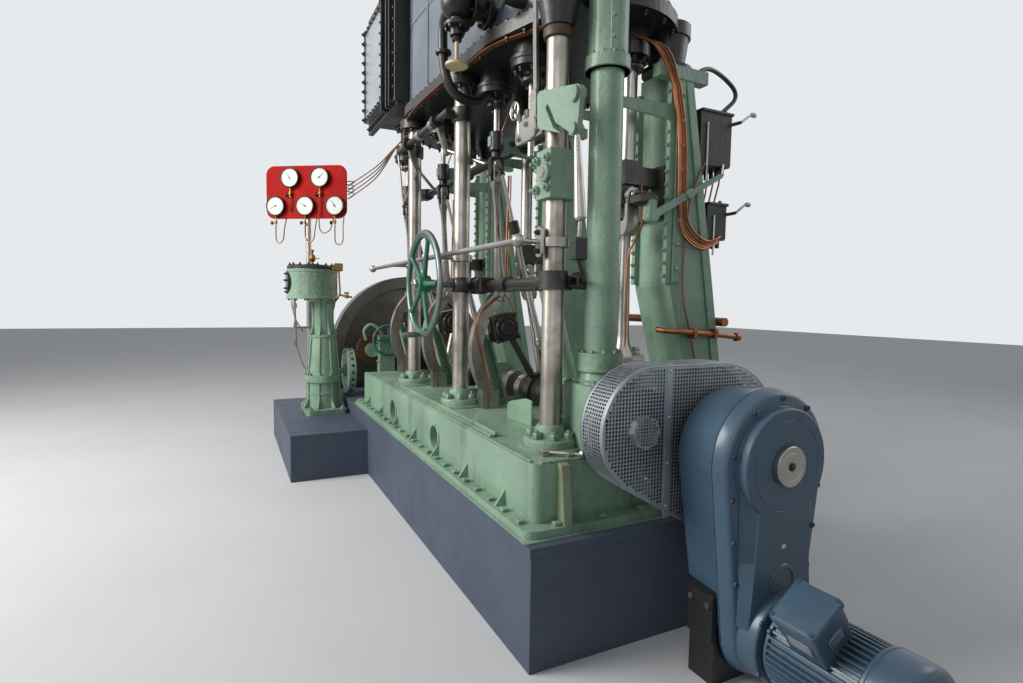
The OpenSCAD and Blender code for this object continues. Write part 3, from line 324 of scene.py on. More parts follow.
def spread(points, count):
    """The closed outline again, with count points at even distances."""
    pts = points + points[:1]
    lengths = [(b - a).length for a, b in zip(pts, pts[1:])]
    step = sum(lengths) / count
    out, i, done = [], 0, 0.0
    for k in range(count):
        while done + lengths[i] < k * step:
            done += lengths[i]
            i += 1
        out.append(pts[i].lerp(pts[i + 1], (k * step - done) / lengths[i]))
    return out


def clip(polygon, outline):
    """The part of a polygon inside a convex outline."""
    for a, b in zip(outline, outline[1:] + outline[:1]):
        edge = b - a
        side = [edge.x * (p.y - a.y) - edge.y * (p.x - a.x) for p in polygon]
        if all(s >= 0 for s in side):
            continue
        out = []
        for i, p in enumerate(polygon):
            if (side[i] >= 0) != (side[i - 1] >= 0):
                out.append(polygon[i - 1].lerp(p, side[i - 1] / (side[i - 1] - side[i])))
            if side[i] >= 0:
                out.append(p)
        polygon = out
        if len(polygon) < 3:
            return []
    return polygon


EDGE_HIGH = 0.004


class Shape:
    """Vertices and faces of one piece, gathered from closed parts."""

    def __init__(self):
        self.verts, self.faces = [], []

    def add(self, verts, faces):
        start = len(self.verts)
        self.verts += [tuple(v) for v in verts]
        self.faces += [[start + i for i in face] for face in faces]
        return self

    def rings(self, rings, closed=False):
        n = len(rings[0])
        count = len(rings)
        faces = []
        for k in range(count if closed else count - 1):
            a, b = k * n, (k + 1) % count * n
            faces += [(a + i, a + (i + 1) % n, b + (i + 1) % n, b + i) for i in range(n)]
        if not closed:
            faces += [list(range(n)), list(range((count - 1) * n, count * n))]
        return self.add([p for ring in rings for p in ring], faces)

    def lathe(self, profile, at, axis, n=32, closed=False):
        """Turned shape: profile holds a radius and a height along the axis for each ring."""
        u, v, w = axes(axis)
        at = Vector(at)
        rings = []
        for r, h in profile:
            r = max(r, 0.0002)
            rings.append([at + w * h + u * (r * math.cos(TAU * i / n)) + v * (r * math.sin(TAU * i / n))
                          for i in range(n)])
        return self.rings(rings, closed)

    def hoop(self, at, axis, r, wide, high, n=96, m=16):
        """Round ring with an oval section, wide across and high along the axis."""
        profile = [(r + wide * math.cos(TAU * i / m), high * math.sin(TAU * i / m)) for i in range(m)]
        return self.lathe(profile, at, axis, n, closed=True)

    def disc(self, at, axis, r, h, edge=0.004, n=32):
        """Round disc with broken edges, edge wide and EDGE_HIGH high."""
        profile = [(r - edge, 0), (r, EDGE_HIGH), (r, h - EDGE_HIGH), (r - edge, h)]
        return self.lathe(profile, at, axis, n)

    def bar(self, a, b, r, r2=None, n=16):
        """Round bar from a to b, tapered when r2 is given."""
        a, b = Vector(a), Vector(b)
        return self.lathe([(r, 0), (r if r2 is None else r2, (b - a).length)], a, b - a, n)

    def tube(self, points, r, n=10, steps=6, closed=False):
        """Pipe along a smooth curve through the points, or straight between them without steps."""
        path = curve_through(points, steps, closed) if steps else [Vector(p) for p in points]
        rings, side = [], None
        for i, p in enumerate(path):
            ahead = path[(i + 1) % len(path)] if closed or i + 1 < len(path) else p
            behind = path[i - 1] if closed or i else p
            along = (ahead - behind).normalized()
            side = axes(along)[0] if side is None else (side - along * side.dot(along)).normalized()
            other = along.cross(side)
            rings.append([p + (side * math.cos(TAU * k / n) + other * math.sin(TAU * k / n)) * r
                          for k in range(n)])
        return self.rings(rings, closed)

    def layers(self, outline, place, levels):
        """Solid on an outline that is moved inwards by d at each height h."""
        return self.rings([[place(p[0], p[1], h) for p in inset(outline, d)] for d, h in levels])

    def frame(self, outer, inner, low, high):
        """Upright frame between two outlines in plan."""
        corners = ((outer, low), (outer, high), (inner, high), (inner, low))
        return self.rings([[Vector((p.x, p.y, z)) for p in line] for line, z in corners], closed=True)

    def plate(self, outline, place, depth, bevel=0.002):
        """Flat plate with bevelled edges."""
        return self.layers(outline, place, ((bevel, 0), (0, bevel), (0, depth - bevel), (bevel, depth)))

    def box(self, low, high, bevel=0.003):
        (x0, y0, z0), (x1, y1, z1) = low, high
        return self.plate([(x0, y0), (x1, y0), (x1, y1), (x0, y1)], frame_at((0, 0, z0)), z1 - z0, bevel)

    def block(self, place, size, bevel=0.003):
        """Box in a turned frame, centred in its first two directions."""
        w, d, h = size
        corners = [(-w / 2, -d / 2), (w / 2, -d / 2), (w / 2, d / 2), (-w / 2, d / 2)]
        return self.plate(corners, place, h, bevel)

    def nut(self, at, axis, r, h, stud=0.0):
        """Hexagon nut, with the end of its stud when one is given."""
        self.lathe([(r * 0.86, 0), (r, h * 0.1), (r, h * 0.8), (r * 0.82, h)], at, axis, 6)
        if stud:
            end = h + stud
            self.lathe([(r * 0.5, h * 0.5), (r * 0.5, end - 0.002), (r * 0.38, end)], at, axis, 10)

    def nuts(self, places, axis, r, h, stud=0.0):
        for place in places:
            self.nut(place, axis, r, h, stud)

    def nut_ring(self, at, axis, n, spread_r, start, r, h, stud=0.0):
        """Nuts on a circle, all facing along the axis."""
        self.nuts(circle(at, axis, n, spread_r, start), axis, r, h, stud)

    def slab(self, polygons, place, thick):
        """Thin sheet from flat polygons that share their edges, with walls round its holes."""
        index, faces = {}, []
        for polygon in polygons:
            face = []
            for p in polygon:
                key = (round(p[0], 6), round(p[1], 6))
                i = index.setdefault(key, len(index))
                if i not in face:
                    face.append(i)
            if len(face) > 2:
                faces.append(face)
        n = len(index)
        verts = [place(a, b, 0) for a, b in index] + [place(a, b, thick) for a, b in index]
        edges = {(face[k - 1], face[k]) for face in faces for k in range(len(face))}
        walls = [[b, a, n + a, n + b] for a, b in edges if (b, a) not in edges]
        return self.add(verts, faces + [[n + i for i in reversed(face)] for face in faces] + walls)


def make(name, shape, finish, body="engine", replaces=(), angle=32):
    """Turns a shape into a piece that rides on a body."""
    mesh = bpy.data.meshes.new(name)
    mesh.from_pydata(shape.verts, [], shape.faces)
    bm = bmesh.new()
    bm.from_mesh(mesh)
    bmesh.ops.recalc_face_normals(bm, faces=bm.faces)
    bm.to_mesh(mesh)
    bm.free()
    mesh.materials.append(finish)
    mesh.shade_smooth()
    mesh.set_sharp_from_angle(angle=math.radians(angle))
    piece = bpy.data.objects.new(name, mesh)
    bpy.context.collection.objects.link(piece)
    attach(piece, body)
    if replaces:
        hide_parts(*replaces)


def circle(at, axis, n, r, start=0.0):
    """Places on a circle round a point, square to one of the scene's axes."""
    places = []
    for i in range(n):
        a, b = r * math.cos(start + TAU * i / n), r * math.sin(start + TAU * i / n)
        offset = (0, a, b) if axis.x else (a, 0, b) if axis.y else (a, b, 0)
        places.append(Vector(at) + Vector(offset))
    return places


def row(start, step, count):
    """Evenly spaced numbers."""
    return [start + step * i for i in range(count)]


def turns(count, start=0.0):
    """Angles at even steps round a circle."""
    return [TAU * (i + start) / count for i in range(count)]


def cell_quads(s0, x0, s1, x1, hole):
    """A cell with a square hole, as four polygons."""
    ds, dx = (s1 - s0) * (1 - hole) / 2, (x1 - x0) * (1 - hole) / 2
    outer = [(s0, x0), (s1, x0), (s1, x1), (s0, x1)]
    inner = [(s0 + ds, x0 + dx), (s1 - ds, x0 + dx), (s1 - ds, x1 - dx), (s0 + ds, x1 - dx)]
    return [[outer[i], outer[(i + 1) % 4], inner[(i + 1) % 4], inner[i]] for i in range(4)]


SHEET_HOLE = 0.77


def pierced(circles, outline, pitch, margin, solid):
    """Polygons of a convex sheet with square holes; solid(p) tells where it stays whole."""
    directions = [(math.cos(t), math.sin(t)) for t in turns(72)]
    reach = [max(c[0] * dx + c[1] * dy + r for c, r in circles) for dx, dy in directions]
    lows = [min(p[k] for p in outline) for k in (0, 1)]
    highs = [max(p[k] for p in outline) for k in (0, 1)]
    half_diagonal = 0.71 * pitch
    out = []
    for i in range(int(lows[0] / pitch) - 1, int(highs[0] / pitch) + 1):
        for j in range(int(lows[1] / pitch) - 1, int(highs[1] / pitch) + 1):
            x, y = (i + 0.5) * pitch, (j + 0.5) * pitch
            room = min(h - x * dx - y * dy for h, (dx, dy) in zip(reach, directions))
            corners = [Vector((i * pitch, j * pitch)), Vector(((i + 1) * pitch, j * pitch)),
                       Vector(((i + 1) * pitch, (j + 1) * pitch)), Vector((i * pitch, (j + 1) * pitch))]
            if room > margin + half_diagonal:
                if solid((x, y)):
                    out.append(corners)
                else:
                    out += cell_quads(i * pitch, j * pitch, (i + 1) * pitch, (j + 1) * pitch, SHEET_HOLE)
            elif room > -half_diagonal:
                part = clip(corners, outline)
                if part:
                    out.append(part)
    return out


# Chain guard of pierced sheet

CRANK_Z = 0.952
GUARD = [((0, CRANK_Z), 0.386), ((-0.378, 1.053), 0.282)]
GUARD_X0, GUARD_X1 = 1.89, 2.05
SHEET, HOLE_PITCH = 0.0025, 0.0165
SEAM_Y = -0.306
POCKET = [((-0.452, 1.055), 0.074)]
POCKET_X = GUARD_X1 + 0.034


def near_shaft(p):
    return (Vector(p) - Vector((0, CRANK_Z))).length < 0.1


def on_seam(p):
    return near_shaft(p) or abs(p[0] - SEAM_Y) < 0.016


def build_guard_sheets(outline):
    """Side sheets, whole round the shaft, the near one also along its seam."""
    # The far sheet takes the darker copy of the guard sheet, as painted shade
    far = Shape().slab(pierced(GUARD, outline, HOLE_PITCH, 0.006, near_shaft), facing_x(GUARD_X0), SHEET)
    make("guard_far_sheet", far, guard_painted_shade)
    inwards = frame_at((GUARD_X1, 0, 0), Y, Z, -X)
    near = Shape().slab(pierced(GUARD, outline, HOLE_PITCH, 0.006, on_seam), inwards, SHEET)
    make("guard_near_sheet", near, guard_sheet, replaces=["chain_guard"])


def build_guard_rim(outline):
    """Pierced strip round the outline, whole along both edges."""
    length = sum((b - a).length for a, b in zip(outline, outline[1:] + outline[:1]))
    count = round(length / HOLE_PITCH)
    path = spread(outline, count)
    rows = 10
    step = (GUARD_X1 - GUARD_X0) / rows
    polygons = []
    for i in range(count):
        for j in range(rows):
            x0, x1 = j * step, (j + 1) * step
            quads = cell_quads(i, x0, i + 1, x1, 0.72)
            if j in (0, rows - 1):
                quads = [[(i, x0), (i + 1, x0), (i + 1, x1), (i, x1)]]
            polygons += [[(s % count, x) for s, x in quad] for quad in quads]

    def on_rim(s, x, h):
        i = int(s)
        p, q = path[i % count], path[(i + 1) % count]
        at = p.lerp(q, s - i)
        before = path[i - 1].lerp(p, s - i)
        after = q.lerp(path[(i + 2) % count], s - i)
        along = (after - before).normalized()
        return Vector((GUARD_X0 + x, at.x - along.y * h, at.y + along.x * h))

    make("guard_rim", Shape().slab(polygons, on_rim, SHEET), guard_sheet)


def build_guard_trim():
    """Edge wires, seam strip, stays and the pocket on the near sheet."""
    trim = Shape()
    for x in (GUARD_X0 + 0.003, GUARD_X1 - 0.001):
        edge = spread(around(GUARD, 144, -0.004), 140)
        trim.tube([(x, p.x, p.y) for p in edge], 0.004, 8, 0, closed=True)
    trim.box((GUARD_X1 - 0.001, -0.322, 0.655), (GUARD_X1 + 0.002, -0.29, 1.345), 0.0008)
    for z in (1.308, 1.106, 0.902, 0.71):
        rivet = (GUARD_X1 + 0.0015, SEAM_Y, z)
        trim.lathe([(0.007, 0), (0.006, 0.003), (0.003, 0.005)], rivet, X, 12)
    for y in (-0.25, 0.25):
        trim.bar((1.7703, y, 0.767), (GUARD_X0 + 0.002, y, 0.767), 0.012)
    wall, inside = (around(POCKET, 8, grow) for grow in (0, -0.002))
    levels = ((wall, GUARD_X1), (wall, POCKET_X), (inside, POCKET_X), (inside, GUARD_X1))
    trim.rings([[Vector((x, p.x, p.y)) for p in line] for line, x in levels], closed=True)
    lid = pierced([(POCKET[0][0], 0.072)], around(POCKET, 8), 0.0135, 0.0, lambda p: False)
    trim.slab(lid, frame_at((POCKET_X, 0, 0), Y, Z, -X), 0.002)
    make("guard_trim", trim, guard_sheet)


def build_guard():
    outline = around(GUARD, 144)
    build_guard_sheets(outline)
    build_guard_rim(outline)
    build_guard_trim()


# Gear case on the shaft end

MOTOR_Z = 0.239
MOTOR = Vector((0, 0, MOTOR_Z))
CASE_FLOOR = 0.39
FACE_X = 2.368
COVER_SCREWS = ((0.013, 1.222), (-0.15, 1.17), (0.165, 1.17), (0.262, 1.018), (-0.254, 1.004),
                (-0.254, 0.826), (0.258, 0.826), (-0.236, 0.651), (0.236, 0.651), (-0.214, 0.478),
                (0.214, 0.478))


def case_ring(x, top, low, floor=None):
    ring = around([((0, CRANK_Z), top), ((0, MOTOR_Z), low)], 120)
    return [Vector((x, p.x, max(p.y, floor) if floor else p.y)) for p in ring]


def build_gear_case():
    """Two tapering halves; the rear one is cut flat at its floor."""
    rear = [(2.075, 0.262, 0.175), (2.081, 0.272, 0.184), (2.092, 0.277, 0.188), (2.292, 0.3, 0.212),
            (2.297, 0.304, 0.216)]
    front = [(2.297, 0.304, 0.216), (2.303, 0.307, 0.219), (2.3055, 0.307, 0.219), (2.3062, 0.303, 0.215),
             (2.3082, 0.303, 0.215), (2.309, 0.307, 0.219), (2.318, 0.306, 0.218), (2.352, 0.294, 0.207),
             (2.361, 0.29, 0.203), (2.367, 0.283, 0.196), (2.37, 0.274, 0.188)]
    rings = [case_ring(*ring, CASE_FLOOR) for ring in rear] + [case_ring(*ring) for ring in front]
    make("gear_case", Shape().rings(rings), blue, replaces=["gearbox"])


def build_gear_cover():
    cover = Shape()
    cover.lathe([(0.238, 0), (0.235, 0.004), (0.235, 0.036), (0.233, 0.042), (0.228, 0.0455),
                 (0.19, 0.046), (0.1885, 0.0445), (0.186, 0.0445), (0.1845, 0.046), (0.094, 0.046),
                 (0.092, 0.044), (0.08, 0.044)], (2.37, 0, CRANK_Z), X, 96)
    low = [(-0.201, 0.3), (0.201, 0.3), (0.21, 0.565), (0.224, 0.9), (-0.224, 0.9), (-0.21, 0.565)]
    mid = [(-0.189, 0.302), (0.189, 0.302), (0.164, 0.57), (0.146, 0.9), (-0.146, 0.9), (-0.164, 0.57)]
    levels = ((low, FACE_X, 0), (low, 2.374, 0), (mid, 2.4095, 0), (mid, 2.415, 0.005))
    cover.rings([[Vector((x, p[0], p[1])) for p in inset(line, d)] for line, x, d in levels])
    cover.lathe([(0.199, 0), (0.196, 0.006), (0.191, 0.07), (0.189, 0.08), (0.184, 0.086), (0.12, 0.086)],
                (FACE_X, 0, MOTOR_Z), X, 96)
    cover.lathe([(0.074, 0), (0.07, 0.007), (0.064, 0.009), (0.056, 0.009), (0.053, 0.004), (0.02, 0.004)],
                (2.414, 0.004, 0.468), X, 40)
    make("gear_cover", cover, blue, replaces=["gearbox_cover"], angle=14)


def build_gear_screws():
    screws = Shape()
    for y, z in COVER_SCREWS:
        screws.lathe([(0.012, -0.004), (0.012, 0.007), (0.0105, 0.009), (0.006, 0.009), (0.005, 0.006)],
                     (FACE_X, y, z), X, 16)
    for s in (-1, 1):
        screws.nuts([(x, s * 0.25, 0.345) for x in (2.17, 2.265)], Y * s, 0.014, 0.012, 0.004)
    screws.nuts([(2.452, y, z) for z in (0.345, 0.135) for y in (-0.1617, 0.1617)], X, 0.013, 0.01)
    make("gear_screws", screws, blue_dark)


def build_shaft_end():
    hub = Shape().lathe([(0.084, 0), (0.082, 0.0025), (0.06, 0.0025), (0.059, 0.0018), (0.057, 0.0018),
                         (0.056, 0.0025), (0.022, 0.0025), (0.021, 0.001), (0.012, 0.001)],
                        (2.4348, 0, CRANK_Z), X, 64)
    make("shaft_end_disc", hub, steel)
    bolt = Shape().lathe([(0.018, 0), (0.018, 0.003), (0.017, 0.004)], (2.435, 0, CRANK_Z), X, 24)
    bolt.nut((2.438, 0, CRANK_Z), X, 0.012, 0.008)
    make("shaft_end_bolt", bolt, black)
    plate = Shape().plate(rounded(0.024, 0.016, 0.002, (0.0, 0.614)), facing_x(2.4145), 0.0015, 0.0004)
    make("gear_plate", plate, bright_sheet)


# Motor with its terminal box

BOX_SIDE, BOX_OUT = swing(Y, Z, math.radians(34))
BOX_X = 2.655


def by_motor(x, side, out):
    """Place beside the motor's axis, in the directions of the terminal box."""
    return MOTOR + X * x + BOX_SIDE * side + BOX_OUT * out


def build_motor_body():
    """Flanges, finned shell, fan cowl and terminal box."""
    body = Shape()
    body.lathe([(0.13, 2.45), (0.13, 2.476)], MOTOR, X, 48)
    body.lathe([(0.16, 2.474), (0.17, 2.477), (0.17, 2.489), (0.162, 2.492)], MOTOR, X, 72)
    fins = 44
    profile = []
    for i in range(fins):
        for share, r in ((-0.26, 0.158), (-0.17, 0.1775), (0.17, 0.1775), (0.26, 0.158)):
            t = TAU * (i + share) / fins
            profile.append((r * math.cos(t), r * math.sin(t)))
    shell = frame_at(MOTOR + X * 2.49, Y, Z, X)
    body.rings([[shell(a, b, h) for a, b in profile] for h in (0, 0.348)])
    body.lathe([(0.168, 2.834), (0.182, 2.836), (0.187, 2.842), (0.187, 2.852), (0.184, 2.855),
                (0.184, 2.86), (0.188, 2.863), (0.188, 2.95), (0.186, 2.966), (0.179, 2.981),
                (0.166, 2.991), (0.145, 2.997), (0.11, 2.9995), (0.04, 3.0)], MOTOR, X, 72)
    base = frame_at(by_motor(BOX_X, 0, 0.138), X, BOX_SIDE, BOX_OUT)
    levels = ((0.94, 0), (0.95, 0.08), (1.0, 0.1), (1.0, 0.172))
    body.rings([[base(p.x * k, p.y * k, h) for p in rounded(0.17, 0.18, 0.014)] for k, h in levels])
    lid = frame_at(by_motor(BOX_X, 0, 0.31), X, BOX_SIDE, BOX_OUT)
    body.layers(rounded(0.184, 0.194, 0.016), lid,
                ((0.002, 0), (0, 0.002), (0, 0.012), (0.002, 0.014), (0.002, 0.016), (0, 0.018),
                 (0.001, 0.024), (0.005, 0.028), (0.012, 0.03)))
    make("motor_body", body, blue, replaces=["motor"], angle=28)


def build_motor_fittings():
    screws = Shape()
    for i in (-1, 1):
        for j in (-1, 1):
            at = by_motor(BOX_X + i * 0.078, j * 0.083, 0.338)
            screws.lathe([(0.009, 0), (0.009, 0.004), (0.007, 0.006)], at, BOX_OUT, 14)
    screws.nuts([(2.483, y, 0.33) for y in (-0.153, 0.153)], X, 0.012, 0.014)
    make("motor_screws", screws, blue_dark)
    gland, at = Shape(), by_motor(2.662, 0.088, 0.205)
    gland.nut(at, BOX_SIDE, 0.022, 0.014)
    gland.lathe([(0.017, 0.012), (0.017, 0.034), (0.0155, 0.036), (0.0155, 0.05), (0.013, 0.058),
                 (0.008, 0.06)], at, BOX_SIDE, 24)
    make("cable_gland", gland, cream)
    rating = Shape()
    end = frame_at(by_motor(2.741, 0.0, 0.235), BOX_SIDE, BOX_OUT, X)
    rating.plate(rounded(0.075, 0.042, 0.003), end, 0.0012, 0.0004)
    face = frame_at(by_motor(BOX_X, -0.0905, 0.23), X, BOX_OUT, -BOX_SIDE)
    rating.plate(rounded(0.09, 0.05, 0.003), face, 0.0012, 0.0004)
    make("rating_plates", rating, bright_sheet)


def build_gearmotor():
    build_gear_case()
    build_gear_cover()
    build_gear_screws()
    build_shaft_end()
    build_motor_body()
    build_motor_fittings()


# Reversing handwheel

WHEEL = Vector((0.25, -0.85, 1.71))


def build_handwheel():
    rim, spokes, nut = Shape(), Shape(), Shape()
    rim.hoop(WHEEL, -Y, 0.34, 0.02, 0.019)
    rim.bar(WHEEL, (WHEEL.x, -0.505, WHEEL.z), 0.02)
    rim.lathe([(0.03, 0), (0.032, 0.01), (0.032, 0.03), (0.026, 0.036)], WHEEL + Y * 0.045, Y, 24)
    rim.lathe([(0.01, 0.0), (0.01, 0.026), (0.014, 0.03), (0.018, 0.05), (0.0185, 0.1),
               (0.016, 0.135), (0.01, 0.148), (0.004, 0.15)], WHEEL - Z * 0.34, -Y, 20)
    make("handwheel_rim", rim, rim_steel, body="reversing_wheel",
         replaces=["reversing_handwheel"])
    spokes.hoop(WHEEL, -Y, 0.317, 0.0105, 0.015, m=12)
    spokes.lathe([(0.046, -0.045), (0.056, -0.04), (0.058, -0.02), (0.058, 0.02), (0.055, 0.04),
                  (0.045, 0.045), (0.034, 0.047)], WHEEL, -Y, 40)
    for t in turns(5):
        spokes.lathe([(0.026, 0.045), (0.019, 0.075), (0.0155, 0.18), (0.015, 0.28), (0.018, 0.3),
                      (0.026, 0.314)], WHEEL, swing(X, Z, t)[0], 16)
    make("handwheel_spokes", spokes, deep_green, body="reversing_wheel")
    nut.nut(WHEEL - Y * 0.046, -Y, 0.03, 0.024, 0.012)
    make("handwheel_nut", nut, steel, body="reversing_wheel")


# Front columns: polished shafts on green feet

COLUMN_TOPS = ((1.5, 2.913), (0.25, 3.03), (-0.85, 3.03))
DECK_Z = 0.875
COLUMN_Y = -0.58


def build_columns():
    shafts, feet, nuts, collar = Shape(), Shape(), Shape(), Shape()
    for x, top in COLUMN_TOPS:
        foot = Vector((x, COLUMN_Y, DECK_Z))
        shafts.lathe([(0.0555, 0.06), (0.0555, 0.14), (0.055, 0.142), (0.055, top - DECK_Z)], foot, Z, 40)
        feet.lathe([(0.135, 0), (0.135, 0.04), (0.131, 0.05), (0.124, 0.055), (0.088, 0.055),
                    (0.08, 0.062), (0.073, 0.1), (0.068, 0.114), (0.058, 0.117)], foot, Z, 48)
        feet.lathe([(0.162, 0), (0.162, 0.01), (0.156, 0.014)], foot, Z, 48)
        for at in circle(foot + Z * 0.055, Z, 7, 0.101, math.radians(30)):
            in_tube_foot = 1.455 < at.x < 1.745 and at.y > -0.505
            if not in_tube_foot:
                nuts.nut(at, Z, 0.025, 0.028, 0.012)
    collar.lathe([(0.06, 0), (0.071, 0.004), (0.073, 0.02), (0.073, 0.045), (0.068, 0.053)],
                 (1.5, COLUMN_Y, 2.86), Z, 40)
    make("column_shafts", shafts, turned, replaces=["front_columns"])
    make("column_feet", feet, green)
    make("column_nuts", nuts, green)
    make("column_collar", collar, brown)


# Cylinders, valve chest and what hangs on them

CASING = [((1.13, -0.09), 0.385), ((0.76, -0.25), 0.345), ((-0.62, -0.06), 0.6),
          ((-1.1, 0.06), 0.47)]
COVERS = ((1.13, -0.09, 0.32), (0.3, -0.11, 0.31), (-0.64, -0.06, 0.54))
BASE_Z, CASE_Z0, CASE_Z1 = 3.1, 3.17, 4.43
CHEST_Y, CHEST_EDGE_Y = -0.73, -0.688
SPINDLE_Y = -0.405
SPINDLE_XS = (0.42, -0.62, -1.66, 0.91)
GEAR_XS = SPINDLE_XS[:3]
CRANK_XS = (1.31, 0.1, -1.15)


def side_of(circles, count, grow):
    """Points on an outline with their outward directions."""
    points = spread(around(circles, 144, grow), count)
    for i, p in enumerate(points):
        along = (points[(i + 1) % count] - points[i - 1]).normalized()
        yield p, Vector((along.y, -along.x, 0))


def build_casing_bands():
    """Level bands round the casing and upright riveted strips on its joints."""
    sheet = Shape()
    for z in (3.172, 3.8, 4.395):
        sheet.frame(around(CASING, 144, -0.002), around(CASING, 144, 0.004), z, z + 0.028)
    for p, d in list(side_of(CASING, 56, 0.0))[::4]:
        place = frame_at((p.x, p.y, CASE_Z0), Vector((-d.y, d.x, 0)), d, Z)
        sheet.block(place, (0.034, 0.01, CASE_Z1 - CASE_Z0), 0.001)
        for h in row(0.08, 0.085, 14):
            sheet.lathe([(0.006, 0.003), (0.005, 0.0065), (0.002, 0.008)], place(0, 0, h), d, 8)
    make("casing_bands", sheet, casing)


def add_spindle_glands(bolts):
    for x in SPINDLE_XS:
        bolts.nut_ring((x, SPINDLE_Y, 2.955), -Z, 8, 0.094, 0.3, 0.014, 0.016, 0.014)
        bolts.disc((x, SPINDLE_Y, 2.99), Z, 0.132, 0.026, n=40)
        bolts.disc((x, SPINDLE_Y, 2.878), Z, 0.066, 0.024, 0.006)
        for stud_x in (x - 0.05, x + 0.05):
            bolts.bar((stud_x, SPINDLE_Y, 2.86), (stud_x, SPINDLE_Y, 2.957), 0.008, n=10)
            bolts.nut((stud_x, SPINDLE_Y, 2.878), -Z, 0.014, 0.014)


def add_chest_bolts(bolts):
    """Nuts of the valve chest's cover and edges, and the ribs on the chest's end."""
    for z in row(3.43, 0.094, 10):
        bolts.nuts([(x, CHEST_Y, z) for x in (-2.09, -1.35)], -Y, 0.022, 0.022, 0.014)
        bolts.nuts([(x, CHEST_EDGE_Y, z) for x in (-1.262, -1.03)], -Y, 0.024, 0.024, 0.016)
    bolts.nuts([(x, CHEST_EDGE_Y, 3.335) for x in row(-2.06, 0.094, 12)], -Y, 0.02, 0.02, 0.012)
    for x in row(-2.02, 0.105, 7):
        bolts.nuts([(x, CHEST_Y, z) for z in (3.425, 4.275)], -Y, 0.014, 0.014, 0.01)
    for x0, x1, y in ((-1.322, -1.3, -0.76), (-1.215, -1.185, -0.745), (-1.15, -1.12, -0.735),
                      (-1.005, -0.975, -0.72)):
        bolts.box((x0, y, 3.3), (x1, -0.64, 4.43), 0.004)


def build_block_bolts():
    """Nuts, glands and flanges of the cylinder block."""
    bolts = Shape()
    bolts.nuts([(p.x, p.y, CASE_Z0) for p, _ in side_of(CASING, 78, 0.026)], Z, 0.017, 0.018, 0.012)
    bolts.nuts([(p.x, p.y, BASE_Z) for p, _ in side_of(CASING, 52, 0.024)], -Z, 0.015, 0.016, 0.014)
    add_spindle_glands(bolts)
    for x in CRANK_XS:
        bolts.nut_ring((x, 0, 2.95), -Z, 8, 0.08, 0.4, 0.013, 0.016, 0.014)
        bolts.lathe([(0.07, 2.885), (0.076, 2.889), (0.076, 2.905), (0.07, 2.91)], (x, 0, 0), Z, 32)
    for x in (0.25, -0.85):
        bolts.nut_ring((x, COLUMN_Y, 3.03), -Z, 8, 0.09, 0.2, 0.015, 0.018, 0.012)
    bolts.nut_ring((1.5, COLUMN_Y, 3.172), Z, 6, 0.078, 0.2, 0.015, 0.018, 0.012)
    for x, y, r in COVERS:
        bolts.nut_ring((x, y, 4.49), Z, 20, r - 0.02, 0.1, 0.014, 0.018, 0.012)
        bolts.lathe([(0.066, 0), (0.066, 0.016), (0.06, 0.021)], (x, y, 4.506), Z, 32)
    add_chest_bolts(bolts)
    make("block_bolts", bolts, black)


def build_chest_frame():
    strips = Shape()
    for x0, x1 in ((-2.108, -2.07), (-1.37, -1.332)):
        strips.box((x0, -0.738, 3.402), (x1, -0.728, 4.298), 0.002)
    for z0, z1 in ((3.402, 3.44), (4.26, 4.298)):
        strips.box((-2.072, -0.738, z0), (-1.368, -0.728, z1), 0.002)
    make("chest_cover_frame", strips, dark_steel)


def build_stop_valve():
    """Flanges and nuts of the stop valve, with the two steam pipes that leave it."""
    valve = Shape()
    for y in (-0.745, -0.655):
        valve.disc((0.76, y, 3.3), Y, 0.102, 0.028, n=40)
        valve.nut_ring((0.76, y, 3.3), -Y, 8, 0.083, 0.2, 0.013, 0.012, 0.008)
    valve.disc((0.76, -0.82, 3.165), Z, 0.074, 0.024)
    valve.nut_ring((0.76, -0.82, 3.165), -Z, 6, 0.06, 0.0, 0.011, 0.012, 0.006)
    valve.lathe([(0.026, 0), (0.03, 0.008), (0.024, 0.03)], (0.76, -0.82, 3.09), Z, 24)
    valve.tube([(0.7, -0.82, 3.31), (0.6, -0.82, 3.325), (0.52, -0.815, 3.29), (0.49, -0.81, 3.2),
                (0.49, -0.8, 3.05), (0.5, -0.765, 2.935), (0.49, -0.68, 2.875), (0.465, -0.56, 2.885),
                (0.45, -0.48, 2.96)], 0.03, 16)
    for at, axis in (((0.655, -0.82, 3.318), X), ((0.49, -0.805, 3.12), Z)):
        valve.disc(at, axis, 0.05, 0.022, n=24)
    valve.lathe([(0.012, 0), (0.05, 0.006), (0.062, 0.012), (0.066, 0.02), (0.06, 0.03), (0.03, 0.034)],
                (1.02, -0.64, 3.26), -Y, 24)
    valve.tube([(0.8, -0.8, 3.34), (0.9, -0.77, 3.36), (1.0, -0.72, 3.31), (1.02, -0.6, 3.26),
                (1.02, -0.5, 3.26)], 0.034, 16)
    make("stop_valve_fittings", valve, black)


